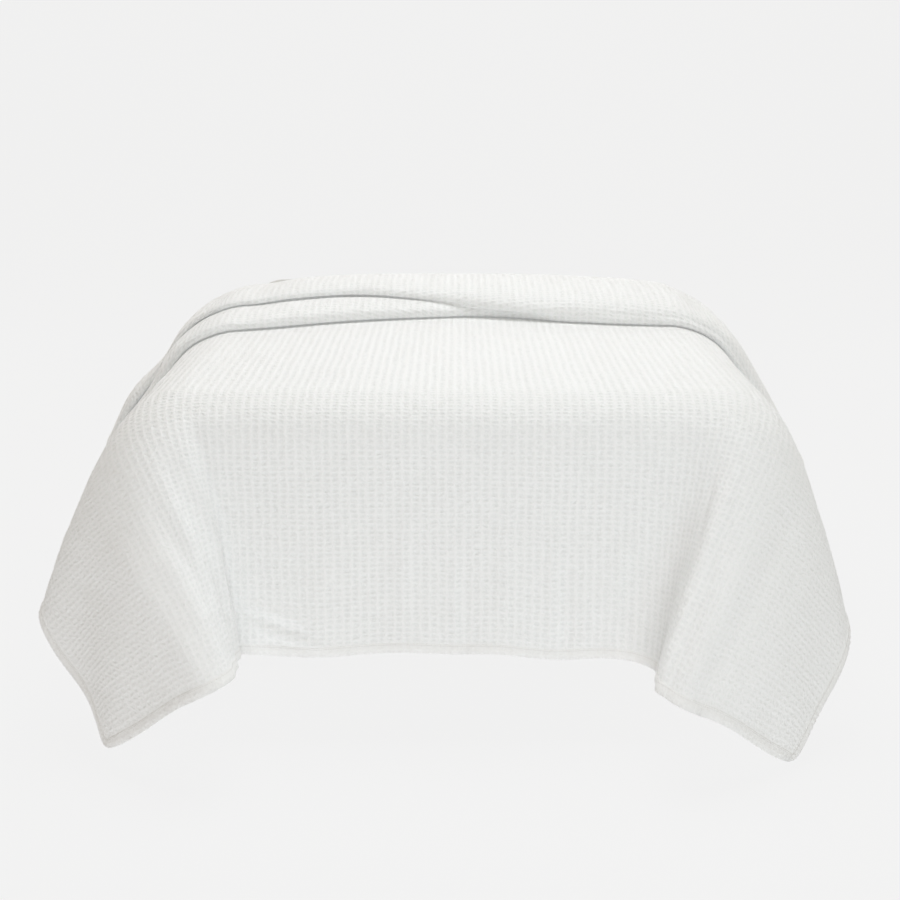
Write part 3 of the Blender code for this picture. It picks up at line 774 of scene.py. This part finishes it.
def round_rectangle(half_x, half_y, radius, step, arc_pieces):
    """Points round a rectangle with round corners, with the outward direction at each."""
    sides = ((1, -1), (1, 1), (-1, 1), (-1, -1))
    centres = [np.array((x * (half_x - radius), y * (half_y - radius))) for x, y in sides]
    places = []
    outward = []
    for number, centre in enumerate(centres):
        start = math.radians(-90.0 + 90.0 * number)
        turn = start + np.radians(np.linspace(0.0, 90.0, arc_pieces + 1))
        arc = np.stack((np.cos(turn), np.sin(turn)), axis=-1)
        last = centre + radius * arc[-1]
        ahead = centres[(number + 1) % 4] + radius * arc[-1]
        count = max(2, round(float(np.linalg.norm(ahead - last)) / step))
        share = np.linspace(0.0, 1.0, count + 1)[1:-1, None]
        places += [centre + radius * arc, last + share * (ahead - last)]
        outward += [arc, np.repeat(arc[-1:], count - 1, axis=0)]
    return np.concatenate(places), np.concatenate(outward)


# ================================================================ node helpers
class Wiring:
    """Adds and joins the nodes of one tree."""

    def __init__(self, tree):
        self.nodes = tree.nodes
        self.link = tree.links.new

    def add(self, kind, **settings):
        """A node with some of its properties set."""
        node = self.nodes.new(kind)
        for name, value in settings.items():
            setattr(node, name, value)
        return node

    def put(self, value, socket):
        """Join an output, or set a plain value."""
        if isinstance(value, bpy.types.NodeSocket):
            self.link(value, socket)
        else:
            socket.default_value = value

    def fed(self, kind, inputs, **settings):
        """A node with its inputs joined or set, by name or in their order."""
        node = self.add(kind, **settings)
        named = inputs.items() if isinstance(inputs, dict) else enumerate(inputs)
        for name, value in named:
            self.put(value, node.inputs[name])
        return node

    def maths(self, operation, *values):
        """The output of a Math node."""
        return self.fed("ShaderNodeMath", values, operation=operation).outputs[0]

    def vector(self, operation, *values):
        """The output of a Vector Math node."""
        return self.fed("ShaderNodeVectorMath", values, operation=operation).outputs[0]

    def noise(self, vector, scale, detail=2.0):
        """The value of a Noise texture."""
        inputs = {"Vector": vector, "Scale": scale, "Detail": detail}
        return self.fed("ShaderNodeTexNoise", inputs).outputs["Fac"]

    def mix(self, share, first, second):
        """A blend of two colours."""
        inputs = {0: share, 6: first, 7: second}
        return self.fed("ShaderNodeMix", inputs, data_type="RGBA").outputs[2]

    def remap(self, *values):
        """The output of a Map Range node: value, from low, from high, to low, to high."""
        return self.fed("ShaderNodeMapRange", values).outputs[0]


def new_group(name, kind, inputs, outputs):
    """A node group with its sockets, and the wiring to fill it."""
    tree = bpy.data.node_groups.new(name, kind)
    for label, sort, value in inputs:
        socket = tree.interface.new_socket(label, in_out="INPUT", socket_type="NodeSocket" + sort)
        if value is not None:
            socket.default_value = value
    for label, sort in outputs:
        tree.interface.new_socket(label, in_out="OUTPUT", socket_type="NodeSocket" + sort)
    wiring = Wiring(tree)
    return tree, wiring, wiring.add("NodeGroupInput"), wiring.add("NodeGroupOutput")


# ================================================================ woven sheet
def weave_lines(start, end, step):
    """Numbers of the half-cell lines between two places."""
    return np.arange(math.ceil(start / step), math.floor(end / step) + 1)


def sheet_lines():
    """Half-cell lines across and along. Few are kept where the cloth lies hidden."""
    reach = HALF_WIDTH - SHEET_INSET
    columns = weave_lines(-reach, reach, CELL_ACROSS / 2)
    rows = weave_lines(SHEET_INSET, CLOTH_LENGTH - SHEET_INSET, CELL_ALONG / 2)
    place = rows * CELL_ALONG / 2
    seen = (place < HIDDEN[0]) | (place > HIDDEN[1]) | (rows % HIDDEN_STRIDE == 0)
    return columns, rows[seen]


def split_round_hollows(row_lines, column_lines):
    """Two triangles for each quad, parted by the diagonal that runs into a hollow."""
    columns = len(column_lines)
    quads = grid_faces(len(row_lines), columns)
    row, column = np.divmod(quads[:, 0], columns)
    even = (row_lines[row] + column_lines[column]) % 2 == 0
    a, b, c, d = quads.T
    first = np.where(even[:, None], np.stack((a, b, c), 1), np.stack((a, b, d), 1))
    second = np.where(even[:, None], np.stack((a, c, d), 1), np.stack((b, c, d), 1))
    return np.concatenate((first, second))


def woven_share(across, along):
    """How much of the weave's depth shows: none in the hem, less in the hanging corners."""
    to_hem = np.minimum(np.minimum(along, CLOTH_LENGTH - along), HALF_WIDTH - np.abs(across))
    starts, whole = WEAVE_STARTS
    pulled = smooth_step(*PULLED_ACROSS, np.abs(across)) * (1.0 - smooth_step(*PULLED_ALONG, along))
    return smooth_step(HEM_WIDTH + starts, HEM_WIDTH + whole, to_hem) * (1.0 - CORNER_PULL * pulled)


def build_sheet(cloth, material):
    """The woven cloth: ridges on the even half-cell lines, hollows between them."""
    column_lines, row_lines = sheet_lines()
    column, row = np.meshgrid(column_lines, row_lines)
    across = column * CELL_ACROSS / 2
    along = row * CELL_ALONG / 2
    aside, ahead = [WANDER * soft_noise(across, along, WANDER_SIZE, seed) for seed in WANDER_SEEDS]
    points, normals = cloth.at(across + aside, np.maximum(along + ahead, 0.0))
    woven = woven_share(across, along)
    hollow = (row % 2 == 1) & (column % 2 == 1)
    change = soft_noise(across, along, DEPTH_CHANGE_SIZE, DEPTH_CHANGE_SEED)
    depth = CELL_DEPTH * (1.0 + DEPTH_CHANGE * change)
    relief = (RIDGE_SHARE - hollow) * depth * woven * shown_side(along)
    points = points + normals * relief[..., None]
    faces = split_round_hollows(row_lines, column_lines)
    sheet = add_piece("blanket_sheet", points.reshape(-1, 3), faces, material)
    add_cloth_map(sheet.data, across, along)
    add_values(sheet.data, "shown_side", shown_side(along))
    add_values(sheet.data, "woven", woven)
    return sheet


# ================================================================ hem
def hem_line():
    """Round the cloth: places across and along, the outward direction, and distance run."""
    half_length = CLOTH_LENGTH / 2
    places, outward = round_rectangle(HALF_WIDTH, half_length, HEM_CORNER, HEM_STEP, HEM_ARC_PIECES)
    places = places + (0.0, half_length)
    run = running_total(np.linalg.norm(np.diff(places, axis=0), axis=1))
    return places, outward, run


def hem_pucker(run, total):
    """The gathers all along the band, from less than nought to more."""
    turns = 2 * math.pi * run / total
    phase = run / GATHER_PITCH * 2 * math.pi
    for size, times, start in GATHER_SWAYS:
        phase = phase + size * np.sin(turns * times + start)
    size, times, start = GATHER_CHANGE
    return (GATHER_STRENGTH + size * np.sin(turns * times + start)) * np.sin(phase)


def build_hem(cloth, material):
    """The flat band of turned-in cloth along every edge, as one closed ring."""
    places, outward, run = hem_line()
    section = np.array(HEM_SECTION)
    under = section[:-1][::-1] * (1.0, -1.0, 1.0)
    inward, thick, gathered = np.concatenate((section, under)).T
    at = places[:, None, :] - outward[:, None, :] * inward[None, :, None]
    across, along = at[..., 0], at[..., 1]
    points, normals = cloth.at(across, along)
    pucker = hem_pucker(run, run[-1] + HEM_STEP)[:, None] * gathered
    height = thick * HEM_THICKNESS / 2 * (1.0 + GATHER_SWELL * pucker) + GATHER_LIFT * pucker
    points = points + normals * height[..., None]
    faces = grid_faces(len(run), len(inward), close_rows=True, close_columns=True)
    hem = add_piece("blanket_hem", points.reshape(-1, 3), faces, material)
    add_cloth_map(hem.data, across, along)
    woven = HEM_WEAVE * np.interp(inward, SEWN_FLAT, (1.0, SEWN_WEAVE))
    add_values(hem.data, "woven", np.broadcast_to(woven, height.shape))
    add_values(hem.data, "shown_side", np.ones(height.shape))
    return hem


def stitch_guide(cloth):
    """Two closed lines of edges, one on each face of the hem, with the direction off the cloth."""
    places, outward, run = hem_line()
    points, normals = cloth.at(*(places - outward * STITCH_LINE).T)
    lift = normals * STITCH_LIFT
    count = len(run)
    ring = np.stack((np.arange(count), (np.arange(count) + 1) % count), axis=-1)
    vertices = np.concatenate((points + lift, points - lift))
    edges = np.concatenate((ring, ring + count))
    mesh = bpy.data.meshes.new("stitch_guide")
    mesh.from_pydata(vertices.tolist(), edges.tolist(), [])
    lean = mesh.attributes.new("lean", "FLOAT_VECTOR", "POINT")
    lean.data.foreach_set("vector", np.concatenate((normals, -normals)).ravel())
    return mesh


def stitch_tree(material):
    """Geometry nodes that lay one small rounded stitch at each step of a line."""
    tree, w, given, out = new_group(
        "stitches_on_a_line",
        "GeometryNodeTree",
        (
            ("Geometry", "Geometry", None),
            ("Pitch", "Float", STITCH_PITCH),
            ("Stitch Length", "Float", STITCH_LENGTH),
            ("Thread Thickness", "Float", STITCH_THICKNESS),
        ),
        (("Geometry", "Geometry"),),
    )
    line = w.fed("GeometryNodeMeshToCurve", {"Mesh": given.outputs["Geometry"]})
    spaced_out = w.fed(
        "GeometryNodeResampleCurve",
        {"Curve": line.outputs["Curve"], "Length": given.outputs["Pitch"]},
        mode="LENGTH",
    )
    ball = {"Segments": STITCH_SIDES, "Rings": STITCH_RINGS, "Radius": 0.5}
    stitch = w.fed("GeometryNodeMeshUVSphere", ball)
    tangent = w.add("GeometryNodeInputTangent")
    lean = w.fed("GeometryNodeInputNamedAttribute", {"Name": "lean"}, data_type="FLOAT_VECTOR")
    ahead = w.fed(
        "FunctionNodeAlignRotationToVector",
        {"Vector": tangent.outputs["Tangent"]},
        axis="X",
    )
    upright = w.fed(
        "FunctionNodeAlignRotationToVector",
        {"Rotation": ahead.outputs["Rotation"], "Vector": lean.outputs["Attribute"]},
        axis="Z",
        pivot_axis="X",
    )
    thickness = given.outputs["Thread Thickness"]
    size = w.fed(
        "ShaderNodeCombineXYZ",
        {"X": given.outputs["Stitch Length"], "Y": thickness, "Z": thickness},
    )
    placed = w.fed(
        "GeometryNodeInstanceOnPoints",
        {
            "Points": spaced_out.outputs["Curve"],
            "Instance": stitch.outputs["Mesh"],
            "Rotation": upright.outputs["Rotation"],
            "Scale": size.outputs["Vector"],
        },
    )
    real = w.fed("GeometryNodeRealizeInstances", {"Geometry": placed.outputs["Instances"]})
    smooth = w.fed("GeometryNodeSetShadeSmooth", {"Geometry": real.outputs["Geometry"]})
    finish = {"Geometry": smooth.outputs["Geometry"], "Material": material}
    finished = w.fed("GeometryNodeSetMaterial", finish)
    w.link(finished.outputs["Geometry"], out.inputs["Geometry"])
    return tree


def build_stitches(cloth, material):
    """The row of sewing that holds the hem, on both faces of the cloth."""
    guide = add_object("stitch_guide", stitch_guide(cloth))
    tree = stitch_tree(material)
    guide.modifiers.new("stitches", "NODES").node_group = tree
    graph = bpy.context.evaluated_depsgraph_get()
    mesh = bpy.data.meshes.new_from_object(guide.evaluated_get(graph))
    bpy.data.objects.remove(guide, do_unlink=True)
    bpy.data.node_groups.remove(tree)
    mesh.name = "hem_stitches"
    return add_object("hem_stitches", mesh)


# ================================================================ bed
def edge_places(half, radius, flat_pieces, arc_pieces):
    """Positions along one side of a round-edged box, closer together where it turns."""
    flat = np.linspace(-(half - radius), half - radius, flat_pieces + 1)
    turn = np.radians(np.linspace(0.0, 45.0, arc_pieces + 1)[1:])
    arc = half - radius + radius * np.tan(turn)
    return np.concatenate((-arc[::-1], flat, arc))


def rounded_box(half, radius, flat_pieces, arc_pieces):
    """Vertices and faces of a box with round edges, centred at the origin."""
    places = [edge_places(h, radius, n, arc_pieces) for h, n in zip(half, flat_pieces)]
    vertices = []
    faces = []
    offset = 0
    for axis in range(3):
        first, second = (axis + 1) % 3, (axis + 2) % 3
        for side in (-1.0, 1.0):
            a, b = np.meshgrid(places[first], places[second])
            grid = np.empty(a.shape + (3,))
            grid[..., first] = a
            grid[..., second] = b
            grid[..., axis] = side * half[axis]
            quads = grid_faces(*a.shape) + offset
            faces.append(quads if side > 0 else quads[:, ::-1])
            vertices.append(grid.reshape(-1, 3))
            offset += a.size
    vertices = np.concatenate(vertices)
    core = np.clip(vertices, -(np.array(half) - radius), np.array(half) - radius)
    return core + radius * unit(vertices - core), np.concatenate(faces)


def quilting(x, y):
    """Depth of the sewn channels in the mattress top: nought between them, one along them."""
    one = np.abs(np.sin(math.pi * (x + y) / QUILT_PITCH))
    two = np.abs(np.sin(math.pi * (x - y) / QUILT_PITCH))
    line = np.minimum(one, two) / QUILT_SOFTNESS
    return np.exp(-line ** 2)


def build_mattress(material):
    """The padded mattress, crowned, with channels sewn into its top."""
    half = (MATTRESS_WIDTH / 2, MATTRESS_LENGTH / 2, (MATTRESS_TOP - MATTRESS_BOTTOM) / 2)
    vertices, faces = rounded_box(half, MATTRESS_EDGE, MATTRESS_PIECES, MATTRESS_EDGE_PIECES)
    x, y, z = vertices.T
    inside = np.minimum(half[0] - QUILT_BORDER - np.abs(x), half[1] - QUILT_BORDER - np.abs(y))
    on_top = smooth_step(0.0, QUILT_FADE, inside) * (z > 0.0)
    middle = (MATTRESS_TOP + MATTRESS_BOTTOM) / 2
    vertices[:, 2] += middle - QUILT_DEPTH * on_top * quilting(x, y)
    mattress = add_piece("mattress_soft", crowned(vertices), faces, material)
    join = bmesh.new()
    join.from_mesh(mattress.data)
    bmesh.ops.remove_doubles(join, verts=join.verts, dist=JOIN_DISTANCE)
    join.to_mesh(mattress.data)
    join.free()
    return mattress


def piping_rings(half_x, half_y, corner, levels, radius):
    """Closed round cords, one at each level: their vertices and faces."""
    places, outward = round_rectangle(half_x, half_y, corner, PIPING_STEP, PIPING_ARC_PIECES)
    turn = np.linspace(0.0, 2 * math.pi, PIPING_SIDES, endpoint=False)
    out = places[:, None, :] + outward[:, None, :] * (radius * np.cos(turn))[None, :, None]
    quads = grid_faces(len(places), PIPING_SIDES, close_rows=True, close_columns=True)
    vertices = []
    faces = []
    for number, level in enumerate(levels):
        height = np.broadcast_to(level + radius * np.sin(turn), out.shape[:2])
        vertices.append(np.concatenate((out, height[..., None]), axis=-1).reshape(-1, 3))
        faces.append(quads + number * len(vertices[0]))
    return np.concatenate(vertices), np.concatenate(faces)


def build_mattress_piping(material):
    """Cords in the seams between the mattress top, its border and its underside."""
    lean = MATTRESS_EDGE * (1.0 - math.cos(math.radians(45.0)))
    vertices, faces = piping_rings(
        MATTRESS_WIDTH / 2 - lean,
        MATTRESS_LENGTH / 2 - lean,
        MATTRESS_EDGE - lean,
        (MATTRESS_TOP - lean, MATTRESS_BOTTOM + lean),
        PIPING_RADIUS,
    )
    return add_piece("mattress_piping", crowned(vertices), faces, material)


def build_base_piping(material):
    """Cords in the upholstery of the base, just inside its upper and lower edges."""
    vertices, faces = piping_rings(
        BASE_WIDTH / 2,
        (MATTRESS_LENGTH - BASE_FOOT_INSET - BASE_HEAD_INSET) / 2,
        BASE_CORNER,
        (BASE_TOP - BASE_SEAM, BASE_BOTTOM + BASE_SEAM),
        BASE_PIPING_RADIUS,
    )
    vertices = vertices + (0.0, (BASE_FOOT_INSET - BASE_HEAD_INSET) / 2, 0.0)
    return add_piece("base_piping", vertices, faces, material)


# ================================================================ shader groups
def sine_wave(w, place, pitch):
    """A sine that passes nought once in each pitch."""
    return w.maths("SINE", w.maths("MULTIPLY", w.maths("DIVIDE", place, pitch), math.pi))


def waffle_group():
    """Ridges round sunken cells, at a place given in metres along the cloth."""
    tree, w, given, out = new_group(
        "waffle_cells",
        "ShaderNodeTree",
        (
            ("Place", "Vector", None),
            ("Cell Across", "Float", CELL_ACROSS),
            ("Cell Along", "Float", CELL_ALONG),
            ("Unevenness", "Float", 1.0),
        ),
        (("Height", "Float"), ("Hollow", "Float")),
    )
    place = given.outputs["Place"]
    uneven = given.outputs["Unevenness"]
    wobble = w.fed("ShaderNodeTexNoise", {"Vector": place, "Scale": SWAY_SCALE, "Detail": 1.5})
    sway = w.vector("SUBTRACT", wobble.outputs["Color"], (0.5, 0.5, 0.5))
    amount = w.maths("MULTIPLY", uneven, SWAY)
    spread = w.fed("ShaderNodeCombineXYZ", {"X": amount, "Y": amount})
    moved = w.vector("ADD", place, w.vector("MULTIPLY", sway, spread.outputs[0]))
    parts = w.fed("ShaderNodeSeparateXYZ", (moved,))
    waves = []
    for axis, cell in (("X", "Cell Across"), ("Y", "Cell Along")):
        wave = sine_wave(w, parts.outputs[axis], given.outputs[cell])
        waves.append(w.maths("POWER", w.maths("ABSOLUTE", wave), WALL_STEEPNESS))
    blotch = w.noise(place, BLOTCH_SCALE, 1.0)
    change = w.maths("MULTIPLY", w.maths("SUBTRACT", blotch, 0.5), uneven)
    hollow = w.maths("MULTIPLY", w.maths("MULTIPLY", *waves), w.maths("ADD", change, 1.0))
    w.link(hollow, out.inputs["Hollow"])
    w.link(w.maths("SUBTRACT", 1.0, hollow), out.inputs["Height"])
    return tree


def yarn_group():
    """Threads that pass over and under each other, with soft thick and thin places."""
    tree, w, given, out = new_group(
        "crossed_yarns",
        "ShaderNodeTree",
        (
            ("Place", "Vector", None),
            ("Yarn Pitch", "Float", 0.0012),
            ("Slub Size", "Float", 0.02),
        ),
        (("Height", "Float"), ("Slub", "Float")),
    )
    place = given.outputs["Place"]
    pitch = given.outputs["Yarn Pitch"]
    loose = w.noise(place, w.maths("DIVIDE", 1.0, given.outputs["Slub Size"]))
    nudge = w.maths("MULTIPLY", loose, pitch)
    parts = w.fed("ShaderNodeSeparateXYZ", (place,))
    waves = [sine_wave(w, w.maths("ADD", parts.outputs[axis], nudge), pitch) for axis in ("X", "Y")]
    w.link(w.maths("ABSOLUTE", w.maths("MULTIPLY", *waves)), out.inputs["Height"])
    w.link(loose, out.inputs["Slub"])
    return tree


# ================================================================ materials
def new_material(name, colour):
    """An empty Principled material and its wiring."""
    material = bpy.data.materials.new(name)
    material.use_nodes = True
    material.diffuse_color = colour
    wiring = Wiring(material.node_tree)
    return material, wiring, material.node_tree.nodes["Principled BSDF"]


def set_inputs(shader, **values):
    """Set sockets that are the same all over, underscores standing for spaces in their names."""
    for name, value in values.items():
        shader.inputs[name.replace("_", " ")].default_value = value


def bump_into(w, shader, height):
    """Let a height in metres turn the shader's normal."""
    bump = w.fed("ShaderNodeBump", {"Strength": 1.0, "Distance": 1.0, "Height": height})
    w.link(bump.outputs["Normal"], shader.inputs["Normal"])


def object_place(w):
    """The object's own coordinates, in metres."""
    return w.add("ShaderNodeTexCoord").outputs["Object"]


def place_on_cloth(w):
    """The cloth map turned into metres."""
    uv = w.add("ShaderNodeUVMap", uv_map="cloth_map")
    centred = w.vector("SUBTRACT", uv.outputs["UV"], (0.5, 0.0, 0.0))
    return w.vector("MULTIPLY", centred, (CLOTH_WIDTH, CLOTH_LENGTH, 1.0))


def yarns_at(w, yarns, place, pitch, slub):
    """The height and the slubs of crossed yarns."""
    inputs = {"Place": place, "Yarn Pitch": pitch, "Slub Size": slub}
    threads = w.fed("ShaderNodeGroup", inputs, node_tree=yarns)
    return threads.outputs["Height"], threads.outputs["Slub"]


def waffle_material(name, waffle, yarns, colours):
    """White cotton: bright ridges, cells greyed by painted shade, a faint painted glow all over,
    matt, with a little down on it.
    """
    ridge_colour, shade_colour, cell_shade_and_slub_colour = colours
    material, w, shader = new_material(name, ridge_colour)
    place = place_on_cloth(w)
    cells = w.fed("ShaderNodeGroup", {"Place": place}, node_tree=waffle)
    yarn, slub = yarns_at(w, yarns, place, *COTTON_YARN)
    woven = w.add("ShaderNodeAttribute", attribute_name="woven").outputs["Fac"]
    side = w.add("ShaderNodeAttribute", attribute_name="shown_side").outputs["Fac"]
    hollow = w.maths("MULTIPLY", cells.outputs["Hollow"], woven)
    rucks = w.noise(w.vector("MULTIPLY", place, RUCK_STRETCH), 1.0)
    worn = w.mix(w.noise(place, WORN_SCALE, 3.0), ridge_colour, shade_colour)
    # painted shade: the colour goes towards the greyer cell colour in the hollows, more or less as
    # the rucks vary
    painted_shade_share = w.maths("ADD", hollow, w.remap(rucks, *NOISE_MIDDLE, -RUCK_SHADE, RUCK_SHADE))
    with_painted_shade = w.mix(w.remap(painted_shade_share, 0.0, 1.0, 0.0, 1.0), worn, cell_shade_and_slub_colour)
    slubbed = w.mix(w.remap(slub, *NOISE_WIDE, 0.0, SLUB_SHADE), with_painted_shade, cell_shade_and_slub_colour)
    w.link(slubbed, shader.inputs["Base Color"])
    w.link(w.remap(hollow, 0.0, 1.0, *COTTON_ROUGHNESS), shader.inputs["Roughness"])
    sunk = w.maths("MULTIPLY", w.maths("MULTIPLY", hollow, side), -BUMP_DEPTH)
    fine = w.maths("MULTIPLY", yarn, YARN_DEPTH)
    rucked = w.maths("MULTIPLY", rucks, RUCK_DEPTH)
    bump_into(w, shader, w.maths("ADD", w.maths("ADD", sunk, fine), rucked))
    set_inputs(
        shader,
        Sheen_Weight=COTTON_SHEEN,
        Sheen_Roughness=0.5,
        Specular_IOR_Level=CLOTH_GLOSS,
        # painted glow: the cotton gives off a little light of its own
        Emission_Color=ridge_colour,
        Emission_Strength=COTTON_PAINTED_GLOW,
    )
    return material


def woven_material(name, yarns, colours, pitch, slub_size, depth, roughness):
    """A plain woven or knitted cloth, read from the object's own coordinates, with painted shade
    between its yarns.
    """
    material, w, shader = new_material(name, colours[0])
    place = object_place(w)
    yarn, slub = yarns_at(w, yarns, place, pitch, slub_size)
    cloudy = w.noise(place, CLOUD_SCALE, 3.0)
    patches = w.maths("MULTIPLY", cloudy, CLOUD_SHARE)
    blend = w.maths("ADD", patches, w.maths("MULTIPLY", slub, 1.0 - CLOUD_SHARE))
    mixed = w.mix(blend, colours[0], colours[1])
    # painted shade: the colour darkens where the yarns sink, between them
    painted_gap_shade = w.maths("MULTIPLY", w.maths("SUBTRACT", 1.0, yarn), GAP_SHADE)
    w.link(w.mix(painted_gap_shade, mixed, colours[2]), shader.inputs["Base Color"])
    roughnesses = (roughness - ROUGHNESS_CHANGE, roughness + ROUGHNESS_CHANGE)
    w.link(w.remap(cloudy, *NOISE_WIDE, *roughnesses), shader.inputs["Roughness"])
    bump_into(w, shader, w.maths("MULTIPLY", yarn, depth))
    set_inputs(shader, Sheen_Weight=WOVEN_SHEEN, Specular_IOR_Level=CLOTH_GLOSS)
    return material


def thread_material():
    """Sewing cotton: twisted strands, a little darker than the cloth, with painted shade in the
    grooves between them.
    """
    material, w, shader = new_material("sewing_cotton", THREAD_LIGHT)
    inputs = {"Vector": object_place(w), "Scale": STRAND_SCALE, "Distortion": 2.0}
    strands = w.fed("ShaderNodeTexWave", inputs, bands_direction="DIAGONAL").outputs["Fac"]
    # painted shade: darker where the strands sink
    w.link(w.mix(strands, THREAD_DARK, THREAD_LIGHT), shader.inputs["Base Color"])
    w.link(w.remap(strands, 0.0, 1.0, *THREAD_ROUGHNESS), shader.inputs["Roughness"])
    bump_into(w, shader, w.maths("MULTIPLY", strands, STRAND_DEPTH))
    return material


def wood_material():
    """Oiled beech: long grain up the leg, a few darker lines, small pores, darker towards the
    floor.
    """
    material, w, shader = new_material("oiled_wood", WOOD_LIGHT)
    place = object_place(w)
    grain = w.noise(w.vector("MULTIPLY", place, GRAIN_STRETCH), 1.0, 4.0)
    pores = w.noise(w.vector("MULTIPLY", place, PORE_STRETCH), 1.0, 1.0)
    toned = w.mix(w.remap(grain, *NOISE_MIDDLE, 0.0, 1.0), WOOD_LIGHT, WOOD_DARK)
    dotted = w.mix(w.remap(pores, *PORES, 0.0, PORE_SHADE), toned, WOOD_PORE)
    height = w.fed("ShaderNodeSeparateXYZ", (place,)).outputs["Z"]
    # darker towards the floor
    darker_low = w.remap(height, 0.0, DARKER_UP_TO, FLOOR_DARKENING, 0.0)
    w.link(w.mix(darker_low, dotted, WOOD_PORE), shader.inputs["Base Color"])
    w.link(w.remap(grain, *NOISE_WIDE, *WOOD_ROUGHNESS), shader.inputs["Roughness"])
    bump_into(w, shader, w.maths("MULTIPLY", pores, -PORE_DEPTH))
    return material


# ================================================================ studio
def add_floor():
    """A pale floor that runs up into a pale backdrop, evenly lit."""
    bend = np.radians(np.linspace(0.0, 90.0, STUDIO_BEND_PIECES + 1))
    curve = STUDIO_BACK + STUDIO_BEND * np.sin(bend)
    along = np.concatenate(([-STUDIO_REACH], curve, [STUDIO_BACK + STUDIO_BEND]))
    rise = np.concatenate(([0.0], STUDIO_BEND * (1.0 - np.cos(bend)), [STUDIO_HEIGHT]))
    grid = np.empty((len(along), 2, 3))
    grid[..., 0] = (-STUDIO_REACH, STUDIO_REACH)
    grid[..., 1] = along[:, None]
    grid[..., 2] = rise[:, None] - STUDIO_DROP
    material, _, shader = new_material("studio_paper", PAPER_DIFFUSE)
    set_inputs(
        shader,
        Base_Color=PAPER_DIFFUSE,
        Roughness=1.0,
        Specular_IOR_Level=0.0,
        Emission_Color=PAPER_GLOW,
        Emission_Strength=1.0,
    )
    floor = add_piece("studio_floor", grid.reshape(-1, 3), grid_faces(len(along), 2), material)


def add_area_light(name, place, target, size, power, colour):
    """A large soft lamp that faces a point."""
    lamp = bpy.data.lights.new(name, "AREA")
    lamp.shape = "RECTANGLE"
    lamp.size, lamp.size_y = size
    lamp.energy = power
    lamp.color = colour
    holder = add_object(name, lamp)
    holder.location = place
    facing = Vector(target) - Vector(place)
    holder.rotation_euler = facing.to_track_quat("-Z", "Y").to_euler()
    holder.visible_camera = False


def add_world():
    """A dim warm fill on the object, and a pale one for what the camera sees past the paper."""
    world = bpy.data.worlds.new("studio")
    world.use_nodes = True
    w = Wiring(world.node_tree)
    seen = w.add("ShaderNodeLightPath").outputs["Is Camera Ray"]
    background = world.node_tree.nodes["Background"]
    w.link(w.mix(seen, WORLD_COLOUR, WORLD_SEEN), background.inputs["Color"])
    bpy.context.scene.world = world


def add_camera():
    """The camera at the photo's viewing angle."""
    camera = bpy.data.cameras.new("photo_camera")
    camera.sensor_width = 36.0
    camera.lens = CAMERA_LENS
    camera.shift_x = CAMERA_SHIFT
    camera.dof.use_dof = False
    holder = add_object("photo_camera", camera)
    holder.location = CAMERA_PLACE
    holder.rotation_euler = (math.radians(90.0 - CAMERA_DOWN), 0.0, 0.0)
    bpy.context.scene.camera = holder


def add_studio():
    """World light, lamps, camera and floor."""
    add_world()
    for lamp in LAMPS:
        add_area_light(*lamp)
    bpy.context.scene.view_settings.view_transform = "Standard"
    bpy.context.scene.view_settings.look = "None"
    add_camera()
    add_floor()


# ================================================================ the whole scene
def finish_carried_nodes(frame, linen, wood):
    """Give the base and the legs, which stay as they are in the solids, their materials."""
    for name, node in frame["nodes"].items():
        if name in ("blanket", "mattress"):
            continue
        for place in node.material_slots:
            place.material = linen if name == "bed_base" else wood


def main(frame):
    """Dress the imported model."""
    waffle = waffle_group()
    yarns = yarn_group()
    cotton = waffle_material("waffle_cotton", waffle, yarns, COTTON_COLOURS)
    hem_cotton = waffle_material("hem_cotton", waffle, yarns, HEM_COLOURS)
    plain = {name: woven_material(name, yarns, *look) for name, look in WOVEN_FINISHES.items()}

    cloth = Cloth()
    sheet = build_sheet(cloth, cotton)
    hem = build_hem(cloth, hem_cotton)
    stitches = build_stitches(cloth, thread_material())
    mattress = build_mattress(plain["knitted_cover"])
    mattress_piping = build_mattress_piping(plain["piping_cotton"])
    base_piping = build_base_piping(plain["base_edging"])

    for piece, slot in (
        (sheet, "blanket_cotton"),
        (hem, "blanket_cotton"),
        (stitches, "blanket_cotton"),
        (mattress, "mattress_cover"),
        (mattress_piping, "mattress_cover"),
        (base_piping, "base_cover"),
    ):
        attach(piece, "root")
    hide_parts("blanket")
    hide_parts("mattress")
    finish_carried_nodes(frame, plain["base_linen"], wood_material())
    add_studio()


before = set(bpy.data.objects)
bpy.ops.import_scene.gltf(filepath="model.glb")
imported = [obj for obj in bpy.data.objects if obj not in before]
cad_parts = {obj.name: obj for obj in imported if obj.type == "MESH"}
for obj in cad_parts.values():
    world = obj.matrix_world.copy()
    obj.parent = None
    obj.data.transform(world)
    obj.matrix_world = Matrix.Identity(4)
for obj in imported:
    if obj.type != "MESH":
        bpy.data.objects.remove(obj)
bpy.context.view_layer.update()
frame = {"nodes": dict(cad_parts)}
main(frame)
